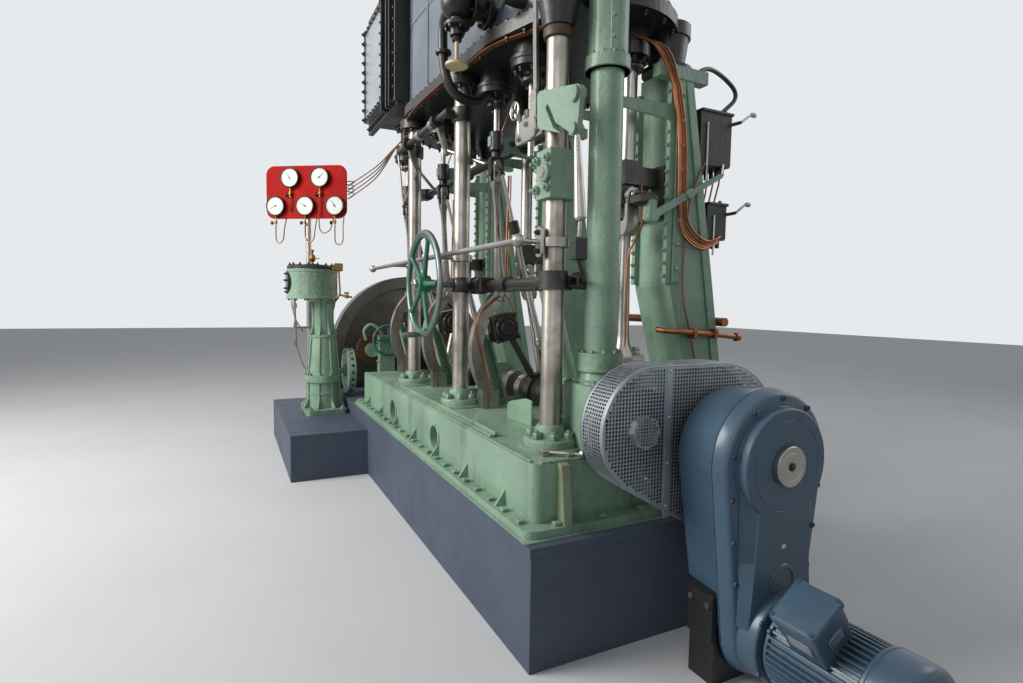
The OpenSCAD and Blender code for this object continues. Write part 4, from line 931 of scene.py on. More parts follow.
def build_regulator():
    """Flat rod beside the tube column with its small wheel, link plates and pins."""
    rods, hub, fifth_turn = Shape(), Vector((1.13, -0.625, 2.625)), 1.2566
    flat = frame_at((1.322, -0.6, 2.62), X, Y, Vector((-0.045, 0, 1)).normalized())
    rods.block(flat, (0.034, 0.014, 1.45), 0.003)
    rods.plate(rounded(0.3, 0.12, 0.03, (1.265, 2.5)), facing_y(-0.612), 0.022, 0.003)
    rods.plate(rounded(0.07, 0.24, 0.03, (1.322, 2.56)), facing_y(-0.622), 0.014, 0.003)
    rods.hoop(hub, -Y, 0.045, 0.006, 0.006, 32, 8)
    for i in range(5):
        rods.bar(hub, hub + swing(X, Z, i * fifth_turn)[0] * 0.044, 0.0045, n=8)
    rods.bar(hub - Y * 0.015, hub + Y * 0.025, 0.012)
    rods.bar((1.13, -0.606, 2.625), (1.15, -0.604, 2.5), 0.01)
    rods.bar((1.38, -0.598, 2.5), (1.455, -0.585, 2.5), 0.016)
    rods.nuts([(x, -0.612, z) for x, z in ((1.16, 2.47), (1.24, 2.53), (1.36, 2.47), (1.36, 2.53))],
              -Y, 0.015, 0.014, 0.006)
    make("regulator_rods", rods, steel)


def build_block():
    build_casing_bands()
    build_block_bolts()
    build_chest_frame()
    build_stop_valve()
    build_regulator()


# Valve gear

PIVOT_Y, PIVOT_Z = -0.365, 1.655
WEIGH = Vector((0, -0.2, 2.66))
CORNERS = ((-1, -0.8), (-0.8, -1), (0.8, -1), (1, -0.8), (1, 0.8), (0.8, 1), (-0.8, 1), (-1, 0.8))


def add_valve_rod(x, bright, iron):
    """Rod between the spindle and the head, with its fork, pin, pivot and gland."""
    low, high = Vector((x, -0.367, 1.69)), Vector((x, SPINDLE_Y, 2.4))
    up = (high - low).normalized()
    across = X.cross(up).normalized()
    length = (high - low).length
    levels = [(0.014, 0.03, 0.0), (0.015, 0.04, 0.06), (0.014, 0.026, 0.16), (0.013, 0.02, 0.4),
              (0.013, 0.018, length - 0.16), (0.016, 0.024, length - 0.06),
              (0.03, 0.03, length - 0.02), (0.034, 0.03, length)]
    bright.rings([[low + up * h + X * (a * i) + across * (b * j) for i, j in CORNERS]
                  for a, b, h in levels])
    for s in (-1, 1):
        cheek = frame_at(high + X * (s * 0.036 - 0.008), across, up, X)
        bright.plate(rounded(0.056, 0.15, 0.027, (0, 0.065)), cheek, 0.016, 0.002)
    bright.disc(high + up * 0.11 - X * 0.05, X, 0.022, 0.1, 0.002, 24)
    bright.disc((x - 0.042, PIVOT_Y, PIVOT_Z), X, 0.055, 0.084, 0.005, 40)
    bright.lathe([(0.026, 0), (0.026, 0.104), (0.022, 0.108)], (x - 0.052, PIVOT_Y, PIVOT_Z), X, 24)
    iron.box((x - 0.024, -0.45, 2.44), (x + 0.024, -0.36, 2.56), 0.006)
    iron.lathe([(0.03, 2.55), (0.034, 2.556), (0.034, 2.59), (0.028, 2.6)], (x, SPINDLE_Y, 0), Z, 24)


def add_gear_head(x, iron, dark):
    """Black head in the lever's link: tilted block, round cover and their nuts."""
    centre = Vector((x, -0.338, 1.425))
    u, v = swing(Y, Z, math.radians(12))
    iron.layers(rounded(0.19, 0.19, 0.035), frame_at(centre - X * 0.056, u, v, X),
                ((0.012, 0), (0.003, 0.006), (0, 0.014), (0, 0.098), (0.003, 0.106), (0.012, 0.112)))
    iron.lathe([(0.084, 0), (0.084, 0.016), (0.078, 0.024), (0.064, 0.024), (0.062, 0.018),
                (0.055, 0.018), (0.053, 0.034), (0.046, 0.04), (0.03, 0.04), (0.028, 0.034),
                (0.01, 0.034)], centre + X * 0.054, X, 48)
    dark.nut_ring(centre + X * 0.056, X, 4, 0.112, math.radians(57), 0.016, 0.014, 0.012)
    dark.nut_ring(centre + X * 0.077, X, 6, 0.071, 0.3, 0.007, 0.006)
    dark.bar(centre - u * 0.09 + v * 0.07, centre - u * 0.165 + v * 0.05, 0.014)


def add_eccentric_rod(x, bright, iron, dark):
    off = x + 0.14
    top, foot = Vector((off, -0.318, 2.033)), Vector((off, -0.117, 1.295))
    down = (foot - top).normalized()
    bright.lathe([(0.012, -0.4), (0.012, -0.04), (0.02, -0.03), (0.02, 0.0), (0.017, 0.01),
                  (0.019, 0.3), (0.027, 0.66), (0.03, 0.7), (0.034, 0.705), (0.034, 0.745),
                  (0.028, 0.752)], top, down, 24)
    iron.lathe([(0.03, 0), (0.036, 0.006), (0.036, 0.08), (0.028, 0.086)], top - down * 0.1, down, 24)
    iron.bar((x, SPINDLE_Y + 0.01, 2.49), (off + 0.01, -0.425, 2.42), 0.016)
    dark.bar(foot + down * 0.02, (off, -0.045, 1.06), 0.018, 0.022)
    dark.lathe([(0.082, -0.026), (0.082, 0.026), (0.108, 0.026), (0.108, -0.026)],
               (off, 0, CRANK_Z), X, 48, closed=True)


def add_gear_pipes(x, pipes):
    route = [(-0.33, 2.44), (-0.34, 1.946), (-0.347, 1.758), (-0.367, 1.663), (-0.449, 1.587),
             (-0.529, 1.512), (-0.54, 1.381), (-0.49, 1.192), (-0.462, 1.0), (-0.455, 0.88)]
    pipes.tube([(x + 0.045, y, z) for y, z in route], 0.0065, 8)
    pipes.tube([(x + 0.055, y + 0.012, z) for y, z in route[:4]]
               + [(x + 0.09, -0.33, 1.6), (x + 0.1, -0.3, 1.52)], 0.005, 8)


def add_spindle_guide(x, paint, iron, pipes):
    """Green arm from the weigh shaft to the spindle, with its collars and oil pipe."""
    paint.plate([(-0.46, 2.625), (-0.36, 2.61), (-0.2, 2.6), (-0.165, 2.66), (-0.2, 2.72),
                 (-0.36, 2.7), (-0.46, 2.69)], facing_x(x - 0.022), 0.044, 0.006)
    iron.disc((x, SPINDLE_Y, 2.6), Z, 0.048, 0.124)
    iron.disc(WEIGH + X * (x - 0.052), X, 0.054, 0.104)
    iron.nut((x + 0.022, -0.3, 2.655), X, 0.018, 0.016, 0.01)
    pipes.tube([(x + 0.03, -0.38, 2.72), (x + 0.06, -0.36, 2.8), (x + 0.1, -0.34, 2.93),
                (x + 0.1, -0.36, 3.09)], 0.005, 8)


def build_gear_sets():
    bright, dark, iron, pipes, paint = (Shape() for _ in range(5))
    for x in GEAR_XS:
        add_valve_rod(x, bright, iron)
        add_gear_head(x, iron, dark)
        add_eccentric_rod(x, bright, iron, dark)
        add_gear_pipes(x, pipes)
    dark.bar(WEIGH - X * 1.86, WEIGH + X * 1.1, 0.034, n=24)
    for x in SPINDLE_XS:
        add_spindle_guide(x, paint, iron, pipes)
    for x in CRANK_XS:
        for s in (-1, 1):
            paint.plate([(-0.235, 2.635), (0.205, 2.61), (0.205, 2.7), (-0.235, 2.685)],
                        facing_x(x + s * 0.139 - 0.006), 0.012, 0.003)
    chest_gland = (GEAR_XS[2], SPINDLE_Y, 0)
    iron.lathe([(0.07, 3.0), (0.07, 3.235), (0.078, 3.258), (0.122, 3.262), (0.125, 3.266),
                (0.125, 3.291), (0.121, 3.296)], chest_gland, Z, 40)
    iron.nut_ring((GEAR_XS[2], SPINDLE_Y, 3.262), -Z, 8, 0.102, 0.2, 0.014, 0.014, 0.01)
    make("valve_gear_bright", bright, steel, replaces=["valve_rods"])
    make("valve_gear_dark", dark, dark_steel)
    make("valve_gear_heads", iron, black, replaces=["gear_heads"])
    make("valve_gear_pipes", pipes, copper)
    make("spindle_guides", paint, green)


def build_weigh_rods():
    """Arms, rods and collars between the handrail and the valve gear."""
    rods = Shape()
    arms = (0.06, -0.64)
    for x in reversed(arms):
        rods.plate([(-0.725, 2.875), (-0.675, 2.875), (-0.6, 2.64), (-0.64, 2.63)],
                   facing_x(x - 0.016), 0.032, 0.004)
        rods.lathe([(0.026, -0.026), (0.026, 0.026)], (x, -0.62, 2.65), X, 24)
    for x, spindle_x in zip(arms, SPINDLE_XS):
        rods.bar((x + 0.03, -0.62, 2.65), (spindle_x - 0.04, -0.47, 2.52), 0.013)
    rods.bar((-0.64, -0.62, 2.65), (-1.64, -0.46, 2.52), 0.012)
    rods.bar((-0.93, -0.7, 2.85), (-0.93, -0.66, 2.44), 0.01)
    for x in (-0.36, -0.06):
        rods.disc((x, -0.7, 2.85), X, 0.036, 0.06, 0.002, 24)
    make("weigh_rods", rods, steel)


def build_rack():
    """Toothed bar beside the reversing shaft, with the shaft's collars and bearing."""
    rack = Shape()
    outline, count, pitch = [], 44, 0.0195
    for x in row(0.58, pitch, count):
        outline += [(x, 1.676), (x + 0.004, 1.664), (x + 0.012, 1.664), (x + 0.016, 1.676)]
    end = 0.58 + count * pitch
    outline += [(end, 1.676), (end, 1.705), (0.58, 1.705)]
    rack.plate(outline, facing_y(-0.472), 0.048, 0.0008)
    for x in (0.19, 0.31):
        rack.disc((x - 0.02, -0.448, 1.71), X, 0.06, 0.04, n=40)
    rack.lathe([(0.036, 0), (0.044, 0.006), (0.044, 0.07), (0.036, 0.08)], (1.5, -0.448, 1.71), X, 32)
    rack.plate([(0.395, 1.67), (0.445, 1.66), (0.455, 1.755), (0.405, 1.765)], facing_y(-0.52), 0.1, 0.006)
    rack.bar((0.25, -0.655, 1.71), (0.25, -0.505, 1.71), 0.045)
    make("reversing_rack", rack, dark_steel)


def build_valve_gear():
    build_gear_sets()
    build_weigh_rods()
    build_rack()


# Connecting rods

THROW, ROD_LENGTH = 0.23, 1.02
FORK = [(-0.034, 0.8), (0.034, 0.8), (0.058, 0.835), (0.063, 0.87), (0.063, 1.02), (0.033, 1.02),
        (0.033, 0.905), (0.02, 0.885), (-0.02, 0.885), (-0.033, 0.905), (-0.033, 1.02),
        (-0.063, 1.02), (-0.063, 0.87), (-0.058, 0.835)]


def build_connecting_rods():
    """Big end in two halves with its bolts, tapering shank and fork for each crank."""
    bright = Shape()
    for x, angle in zip(CRANK_XS, (0, 120, 240)):
        t = math.radians(angle)
        pin_y = THROW * math.sin(t)
        pin = Vector((x, pin_y, CRANK_Z + THROW * math.cos(t)))
        up = Vector((0, -pin_y / ROD_LENGTH, math.sqrt(1 - (pin_y / ROD_LENGTH) ** 2)))
        side = up.cross(X)
        section = frame_at(pin - X * 0.064, side, up, X)
        for low, high in ((-0.128, -0.004), (0.004, 0.128)):
            half = rounded(0.236, high - low, 0.03, (0, (low + high) / 2))
            bright.plate(half, section, 0.128, 0.006)
        for s in (-1, 1):
            bolt = pin + side * (s * 0.094)
            bright.bar(bolt - up * 0.17, bolt + up * 0.17, 0.018)
            bright.nut(bolt - up * 0.128, -up, 0.03, 0.028)
            bright.nut(bolt + up * 0.128, up, 0.03, 0.028)
        bright.lathe([(0.075, 0.12), (0.06, 0.15), (0.042, 0.19), (0.036, 0.24), (0.028, 0.76),
                      (0.032, 0.8), (0.044, 0.83)], pin, up, 32)
        bright.plate(FORK, frame_at(pin - side * 0.04, X, up, side), 0.08, 0.005)
        small_end = pin + up * ROD_LENGTH
        for s in (-1, 1):
            bright.disc(small_end + X * (s * 0.048 - 0.016), X, 0.046, 0.032, 0.006)
        bright.disc(small_end - X * 0.078, X, 0.024, 0.156, 0.002, 24)
    make("connecting_rods_bright", bright, steel, replaces=["connecting_rods"])


# Gauge board

BOARD_AT = Vector((-3.01, -1.195, 2.808))
BOARD_OUT = Vector((0.819152, -0.573576, 0))
BOARD_SIDE = Vector((0.573576, 0.819152, 0))
BOARD_FACE = frame_at(BOARD_AT + BOARD_OUT * 0.018, BOARD_SIDE, Z, BOARD_OUT)
GAUGES = ((-0.18, 0.158, 2.1), (0.18, 0.158, 0.7), (-0.358, -0.158, 3.6), (0.0, -0.158, 2.6),
          (0.358, -0.158, 2.2))
PIPE_OUT = 0.024
PIPE_LOOPS = (
    [(0.358, -0.37), (0.359, -0.537), (0.38, -0.585), (0.425, -0.588), (0.454, -0.537),
     (0.454, -0.4), (0.445, -0.285)],
    [(0.0, -0.37), (0.002, -0.5), (0.044, -0.564), (0.1, -0.53), (0.119, -0.42), (0.119, -0.285)],
    [(-0.358, -0.37), (-0.358, -0.52), (-0.321, -0.578), (-0.27, -0.53), (-0.255, -0.42),
     (-0.255, -0.285)],
    [(0.18, -0.056), (0.172, -0.16), (0.17, -0.373), (0.195, -0.45), (0.236, -0.462),
     (0.3, -0.425), (0.324, -0.36), (0.32, -0.285)],
    [(-0.18, -0.056), (-0.18, -0.16), (-0.184, -0.285)])


def add_scale(marks, a, b, hand):
    """Scale marks, hand and hub of one gauge; hand is the hand's angle."""
    for i in range(25):
        t = math.radians(225 - i * 270 / 24)
        long_mark = i % 4 == 0
        r = 0.082 if long_mark else 0.085
        size = (0.003, 0.018, 0.0008) if long_mark else (0.0018, 0.011, 0.0008)
        v, u = swing(BOARD_SIDE, Z, t)
        at = BOARD_FACE(a + math.cos(t) * r, b + math.sin(t) * r, 0.0383)
        marks.block(frame_at(at, u, v, BOARD_OUT), size, 0.0002)
    v = swing(BOARD_SIDE, Z, hand)[0]
    marks.plate([(-0.005, -0.025), (0.005, -0.025), (0.0015, 0.07), (-0.0015, 0.07)],
                frame_at(BOARD_FACE(a, b, 0.0395), v.cross(BOARD_OUT), v, BOARD_OUT), 0.0012, 0.0003)
    marks.lathe([(0.01, 0.038), (0.009, 0.043)], BOARD_FACE(a, b, 0), BOARD_OUT, 16)


def add_cock(cocks, knobs, a, b):
    """Cock below a gauge, with its lever and knob."""
    cocks.bar(BOARD_FACE(a, b - 0.105, PIPE_OUT), BOARD_FACE(a, b - 0.215, PIPE_OUT), 0.008, n=10)
    cocks.nut(BOARD_FACE(a, b - 0.118, PIPE_OUT), -Z, 0.015, 0.014)
    plug, knob = BOARD_FACE(a, b - 0.18, PIPE_OUT), BOARD_FACE(a - 0.035, b - 0.19, PIPE_OUT)
    cocks.lathe([(0.013, -0.018), (0.016, -0.012), (0.016, 0.012), (0.013, 0.018)], plug, Z, 12)
    cocks.bar(plug, knob, 0.005, n=8)
    knobs.lathe([(0.01, 0), (0.02, 0.004), (0.021, 0.018), (0.014, 0.024)], knob, -BOARD_SIDE, 14)


def add_gauge_pipes(pipes):
    """Loops on the board and the bundle that runs from it to the cylinders."""
    for loop in PIPE_LOOPS:
        end = BOARD_FACE(*loop[-1], -PIPE_OUT)
        pipes.tube([BOARD_FACE(a, b, PIPE_OUT) for a, b in loop[:-1]] + [end], 0.0065, 8)
    for i in range(4):
        start = BOARD_FACE(0.47, 0.12 - i * 0.035, -PIPE_OUT)
        pipes.tube([start, start + BOARD_SIDE * 0.1 - Z * (0.01 + 0.01 * i),
                    (-2.3, -0.86, 2.8 - 0.045 * i), (-1.75, -0.7, 2.9 - 0.035 * i),
                    (-1.45 + 0.04 * i, -0.6, 3.02), (-1.38 + 0.04 * i, -0.52, 3.105)], 0.0055, 8, 8)


def build_gauge_board():
    board, cases, dials, marks, cocks, knobs, pipes = (Shape() for _ in range(7))
    plank = frame_at(BOARD_AT, BOARD_SIDE, Z, BOARD_OUT)
    board.plate(rounded(0.975, 0.595, 0.1, n=10), plank, 0.018, 0.004)
    for a in (-0.43, 0.43):
        for b in (-0.24, 0.24):
            marks.lathe([(0.01, 0), (0.009, 0.003), (0.004, 0.005)], BOARD_FACE(a, b, -0.001), BOARD_OUT, 12)
    for a, b, hand in GAUGES:
        cases.lathe([(0.108, 0), (0.112, 0.003), (0.112, 0.038), (0.109, 0.044), (0.105, 0.046),
                     (0.1, 0.0455), (0.097, 0.041), (0.097, 0.036)], BOARD_FACE(a, b, 0), BOARD_OUT, 56)
        dials.lathe([(0.0975, 0.035), (0.0975, 0.0385)], BOARD_FACE(a, b, 0), BOARD_OUT, 56)
        add_scale(marks, a, b, hand)
        add_cock(cocks, knobs, a, b)
    add_gauge_pipes(pipes)
    make("gauge_board_plate", board, red, replaces=["gauge_board"])
    make("gauge_cases", cases, black, replaces=["gauges"])
    make("gauge_dials", dials, dial_white)
    make("gauge_marks", marks, black)
    make("gauge_cocks", cocks, brass)
    make("gauge_knobs", knobs, black)
    make("gauge_pipes", pipes, copper)


# Auxiliary engine

AUX = Vector((-2.35, -1.225, 0))
AUX_FRAME = Vector((-2.35, -1.125, 0))
AUX_SHAFT = Vector((-2.35, 0, 0.833))
CHEST_Z = 1.765


def build_auxiliary_cylinder(iron):
    """Painted shell with its screws, and the iron cover, flange and their nuts."""
    shell = Shape()
    shell.lathe([(0.258, 1.598), (0.262, 1.602), (0.262, 1.624), (0.257, 1.628), (0.25, 1.632),
                 (0.25, 1.868), (0.254, 1.872), (0.254, 1.892), (0.248, 1.896), (0.246, 1.903)],
                AUX, Z, 72)
    for t in turns(10):
        d = swing(X, Y, t)[0]
        for z in (1.66, 1.84):
            shell.lathe([(0.009, 0), (0.008, 0.003), (0.004, 0.005)], AUX + d * 0.2495 + Z * z, d, 10)
    iron.lathe([(0.246, 1.902), (0.25, 1.906), (0.25, 1.932), (0.245, 1.937)], AUX, Z, 72)
    iron.lathe([(0.185, 1.936), (0.182, 1.948), (0.172, 1.951), (0.07, 1.953), (0.065, 1.962),
                (0.04, 1.964)], AUX, Z, 48)
    iron.nut_ring(AUX + Z * 1.936, Z, 16, 0.224, 0.1, 0.015, 0.018, 0.014)
    iron.lathe([(0.118, 0.0), (0.122, 0.004), (0.122, 0.026), (0.117, 0.03)],
               AUX + Vector((0, -0.225, CHEST_Z)), -Y, 48)
    shell.lathe([(0.105, 0), (0.105, 0.06)], AUX + Vector((0, -0.19, CHEST_Z)), -Y, 40)
    iron.nut_ring(AUX + Vector((0, -0.255, CHEST_Z)), -Y, 7, 0.098, 0.2, 0.014, 0.014, 0.01)
    iron.nut_ring(AUX + Z * 1.598, -Z, 12, 0.24, 0.2, 0.012, 0.012, 0.008)
    make("auxiliary_cylinder_shell", shell, green, replaces=["auxiliary_cylinder"])


def build_auxiliary_ribs():
    """Ribs, nuts, bands and shaft flanges on the frame."""
    ribs = Shape()
    outlines = (
        [(0.095, 1.225), (0.15, 1.225), (0.122, 1.3), (0.113, 1.36), (0.113, 1.47), (0.128, 1.53),
         (0.132, 1.562), (0.095, 1.562)],
        [(0.12, 0.806), (0.186, 0.806), (0.172, 0.86), (0.148, 1.15), (0.132, 1.222), (0.11, 1.222)],
        [(0.155, 0.462), (0.232, 0.462), (0.178, 0.56), (0.178, 0.728), (0.155, 0.728)])
    for t in turns(8, 0.5):
        d, side = swing(X, Y, t)
        place = frame_at(AUX_FRAME - side * 0.009, d, Z, side)
        for outline in outlines:
            ribs.plate(outline, place, 0.018, 0.003)
    ribs.nut_ring(AUX_FRAME + Z * 0.804, Z, 10, 0.176, 0.3, 0.015, 0.016, 0.01)
    ribs.nut_ring(AUX_FRAME + Z * 1.564, -Z, 8, 0.12, 0.39, 0.012, 0.012, 0.008)
    ribs.nuts([AUX_FRAME + Vector((dx, dy, 0.46)) for dy in (-0.16, 0.16) for dx in (-0.24, 0.24)],
              Z, 0.022, 0.022, 0.014)
    ribs.disc(AUX_FRAME + Z * 0.6, Z, 0.172, 0.028, 0.006, 48)
    ribs.lathe([(0.128, 1.195), (0.14, 1.2), (0.14, 1.222), (0.13, 1.228)], AUX_FRAME, Z, 48)
    for y in (-0.82, -0.897):
        ribs.lathe([(0.06, 0), (0.064, 0.004), (0.064, 0.016), (0.058, 0.02)], AUX_SHAFT + Y * y, -Y, 32)
    for at in circle(AUX_SHAFT - Y * 0.895, Y, 12, 0.205):
        ribs.lathe([(0.012, 0), (0.011, 0.006)], at, -Y, 12)
    make("auxiliary_ribs", ribs, green)


def build_auxiliary_brass():
    """Lubricator, oil cup and their pipes."""
    bronze = Shape()
    bronze.lathe([(0.014, 1.96), (0.014, 1.985), (0.026, 1.995), (0.032, 2.012), (0.032, 2.04),
                  (0.024, 2.055), (0.01, 2.062), (0.01, 2.085), (0.018, 2.092), (0.018, 2.104),
                  (0.008, 2.112)], AUX, Z, 24)
    bronze.bar(AUX + Vector((0, 0, 2.02)), AUX + Vector((0.05, 0.06, 2.02)), 0.007)
    bronze.box((-2.135, -1.045, 1.885), (-2.065, -0.965, 1.965), 0.006)
    bronze.tube([(-2.19, -1.08, 1.9), (-2.15, -1.04, 1.91), (-2.1, -1.005, 1.91)], 0.012, 10)
    bronze.tube([(-2.1, -1.0, 1.89), (-2.1, -0.995, 1.78), (-2.1, -0.991, 1.66), (-2.12, -1.02, 1.61),
                 (-2.17, -1.09, 1.6)], 0.009, 10)
    bronze.tube([(-2.105, -1.03, 1.885), (-2.105, -1.03, 1.74), (-2.14, -1.07, 1.7),
                 (-2.18, -1.1, 1.7)], 0.007, 8)
    bronze.tube([(-2.1, -0.993, 1.645), (-2.09, -0.93, 1.63), (-2.08, -0.87, 1.622)], 0.011, 10)
    bronze.lathe([(0.018, -0.02), (0.022, -0.014), (0.022, 0.014), (0.018, 0.02)],
                 (-2.088, -0.925, 1.63), Z, 16)
    make("auxiliary_brass", bronze, brass)


def build_auxiliary():
    iron, rods = Shape(), Shape()
    build_auxiliary_cylinder(iron)
    build_auxiliary_ribs()
    for t in turns(20):
        out, along = swing(X, Z, t)
        at = AUX_SHAFT - Y * 0.8575 + out * 0.24
        iron.block(frame_at(at, along, Y, out), (0.026, 0.026, 0.003), 0.0008)
    build_auxiliary_brass()
    iron.lathe([(0.02, 0), (0.026, 0.004), (0.026, 0.014), (0.018, 0.018)], (-2.088, -0.925, 1.655), Z, 16)
    make("auxiliary_iron", iron, black)
    rods.bar((AUX.x, -1.405, 1.6), (AUX.x, -1.395, 1.08), 0.011)
    for z in (1.5, 1.3, 1.12):
        rods.block(frame_at((AUX.x, -1.399, z)), (0.04, 0.034, 0.05), 0.004)
    rods.tube([(AUX.x, -1.395, 1.1), (-2.345, -1.36, 0.98), (-2.345, -1.31, 0.86)], 0.013, 10)
    rods.bar((AUX.x, -1.395, 1.3), (AUX.x, -1.225, 1.3), 0.01)
    rods.tube([(-2.3, -1.42, 1.7), (-2.26, -1.44, 1.55), (-2.27, -1.4, 1.38), (-2.31, -1.33, 1.26)],
              0.007, 8)
    rods.lathe([(0.055, 0), (0.058, 0.004), (0.058, 0.03), (0.052, 0.034)], AUX_SHAFT - Y * 1.262, -Y, 32)
    make("auxiliary_rods", rods, steel)


# Details of the bedplate

FOOT_Z = 0.602
BED_TOP, BEARING_TOP = 0.873, 0.923


def add_bed_lugs(paint):
    """Small blocks along the bedplate's foot, left out where a rib stands."""
    for y in (-0.86, 0.86):
        for x in row(-1.722, 0.164, 22):
            if abs((x / 0.492) - round(x / 0.492)) > 0.06:
                paint.block(frame_at((x, y, FOOT_Z)), (0.034, 0.034, 0.016), 0.003)
    for x in (-1.808, 1.808):
        for y in row(-0.72, 0.24, 7):
            paint.block(frame_at((x, y, FOOT_Z)), (0.034, 0.034, 0.016), 0.003)


def build_latch():
    """Steel handle that lies on the near corner of the deck."""
    latch = Shape()
    latch.bar((1.64, -0.7, 0.893), (1.755, -0.56, 0.893), 0.01)
    latch.lathe([(0.01, -0.012), (0.019, -0.006), (0.019, 0.008), (0.01, 0.014)],
                (1.755, -0.56, 0.893), Y, 16)
    latch.box((1.625, -0.715, BED_TOP), (1.665, -0.68, 0.905), 0.004)
    latch.box((1.715, -0.625, BED_TOP), (1.745, -0.59, 0.9), 0.004)
    make("bed_latch", latch, steel)


def build_bed_details():
    paint, worn = Shape(), Shape()
    add_bed_lugs(paint)
    for x in CRANK_XS:
        paint.frame(rounded(0.466, 0.796, 0.03, (x, 0)), rounded(0.434, 0.764, 0.014, (x, 0)),
                    BED_TOP, BEARING_TOP)
    for x in (0.42, -0.62):
        paint.lathe([(0.09, -0.001), (0.09, 0.006), (0.086, 0.009), (0.078, 0.009), (0.078, -0.001)],
                    (x, -0.82, 0.705), -Y, 48, closed=True)
    for y in (-0.806, 0.806):
        paint.box((-1.72, y - 0.008, BED_TOP), (1.72, y + 0.008, 0.884), 0.003)
    paint.box((1.752, -0.78, BED_TOP), (1.766, 0.78, 0.884), 0.003)
    paint.box((-0.74, -0.786, BED_TOP), (1.22, -0.748, 0.889), 0.003)
    paint.box((-0.74, -0.758, BED_TOP), (1.22, -0.748, 0.906), 0.002)
    start, end = Vector((0.8, -0.47, BED_TOP)), Vector((1.065, -0.44, BED_TOP))
    along = (end - start).normalized()
    paint.plate([(0, 0), (0.265, 0), (0.265, 0.15), (0.2, 0.158), (0.03, 0.118), (0.006, 0.104),
                 (0, 0.085)], frame_at(start, along, Z, along.cross(Z)), 0.014, 0.004)
    for y in (-0.7, 0.65):
        worn.plate([(1.768, 0.6), (1.838, 0.6), (1.806, 0.868), (1.768, 0.875)], facing_y(y),
                   0.05, 0.004)
    build_latch()
    make("bed_details", paint, green)
    make("bed_gussets", worn, green_rust)


# Details of the columns, brackets and lubricators

TUBE = Vector((1.6, -0.36, 0))
BRACKET_X = 1.5


def back_y(z):
    """Front face of a leaning back column at a height."""
    return 0.655 - (z - BEARING_TOP) * 0.17736


def add_back_column(x, paint, bolts):
    """Guide strips, edge plates and nuts of the back column of one crank."""
    for s in (-1, 1):
        low, high = sorted((x + s * 0.123, x + s * 0.152))
        paint.box((low, 0.168, 1.715), (high, 0.204, 2.825), 0.003)
        bolts.nuts([(x + s * 0.1375, 0.168, z) for z in row(1.76, 0.072, 15)], -Y, 0.012, 0.012, 0.006)
        place = frame_at((x + s * 0.15, 0, 0), Y, Z, X * s)
        paint.plate([(0.205, 1.72), (0.262, 1.72), (0.262, 2.82), (0.205, 2.82)], place, 0.014, 0.003)
        bolts.nuts([(x + s * 0.164, 0.234, z) for z in row(1.8, 0.135, 8)], X * s, 0.015, 0.014, 0.008)
        low, high = back_y(0.94), back_y(2.83)
        paint.plate([(low - 0.062, 0.94), (low + 0.002, 0.94), (high + 0.002, 2.83), (high - 0.052, 2.83)],
                    place, 0.012, 0.003)
    for dx in (-0.15, 0.15):
        bolts.nuts([(x + dx, y, BEARING_TOP) for y in (0.44, 0.64)], Z, 0.024, 0.024, 0.014)
    bolts.nuts([(x + 0.122, y, 2.91) for y in row(0.11, 0.1, 4)], Z, 0.016, 0.016, 0.012)


def add_near_bracket(paint, bolts, iron, bright):
    """Bosses, pin, plate and nuts of the bracket on the near front column."""
    bolts.nuts([(BRACKET_X + dx, -0.658, z) for dx in (-0.035, 0.062) for z in (2.145, 2.285)],
               -Y, 0.021, 0.02, 0.012)
    for z in (2.115, 2.24):
        paint.box((1.388, -0.64, z), (1.452, -0.52, z + 0.075), 0.01)
    for z in (2.152, 2.278):
        bolts.nut((1.415, -0.64, z), -Y, 0.02, 0.022, 0.016)
        bolts.nut((1.389, -0.58, z), -X, 0.018, 0.018, 0.012)
    pin = (1.545, -0.657, 2.215)
    paint.lathe([(0.04, 0), (0.044, 0.004), (0.044, 0.02), (0.036, 0.026)], pin, -Y, 32)
    bright.lathe([(0.026, 0), (0.026, 0.03), (0.022, 0.034)], pin, -Y, 24)
    bright.plate(rounded(0.056, 0.15, 0.024, (BRACKET_X, 1.893)), facing_y(-0.672), 0.02, 0.003)
    iron.nuts([(BRACKET_X, -0.672, z) for z in (1.848, 1.938)], -Y, 0.015, 0.014, 0.008)


def add_hand_lever(iron, bright):
    """Lever with a steel grip that hangs beside the near column."""
    top, low = Vector((1.8, -0.655, 2.35)), Vector((1.842, -0.655, 1.955))
    bright.lathe([(0.012, 0.0), (0.012, 0.03), (0.015, 0.05), (0.027, 0.36), (0.028, 0.385),
                  (0.02, 0.397)], top, low - top, 24)
    bright.bar(low, (1.835, -0.655, 1.87), 0.009)
    iron.box((1.812, -0.685, 1.785), (1.858, -0.625, 1.885), 0.006)
    iron.tube([(1.835, -0.655, 1.79), (1.81, -0.62, 1.745), (1.72, -0.54, 1.715), (1.58, -0.46, 1.71)],
              0.01, 10)


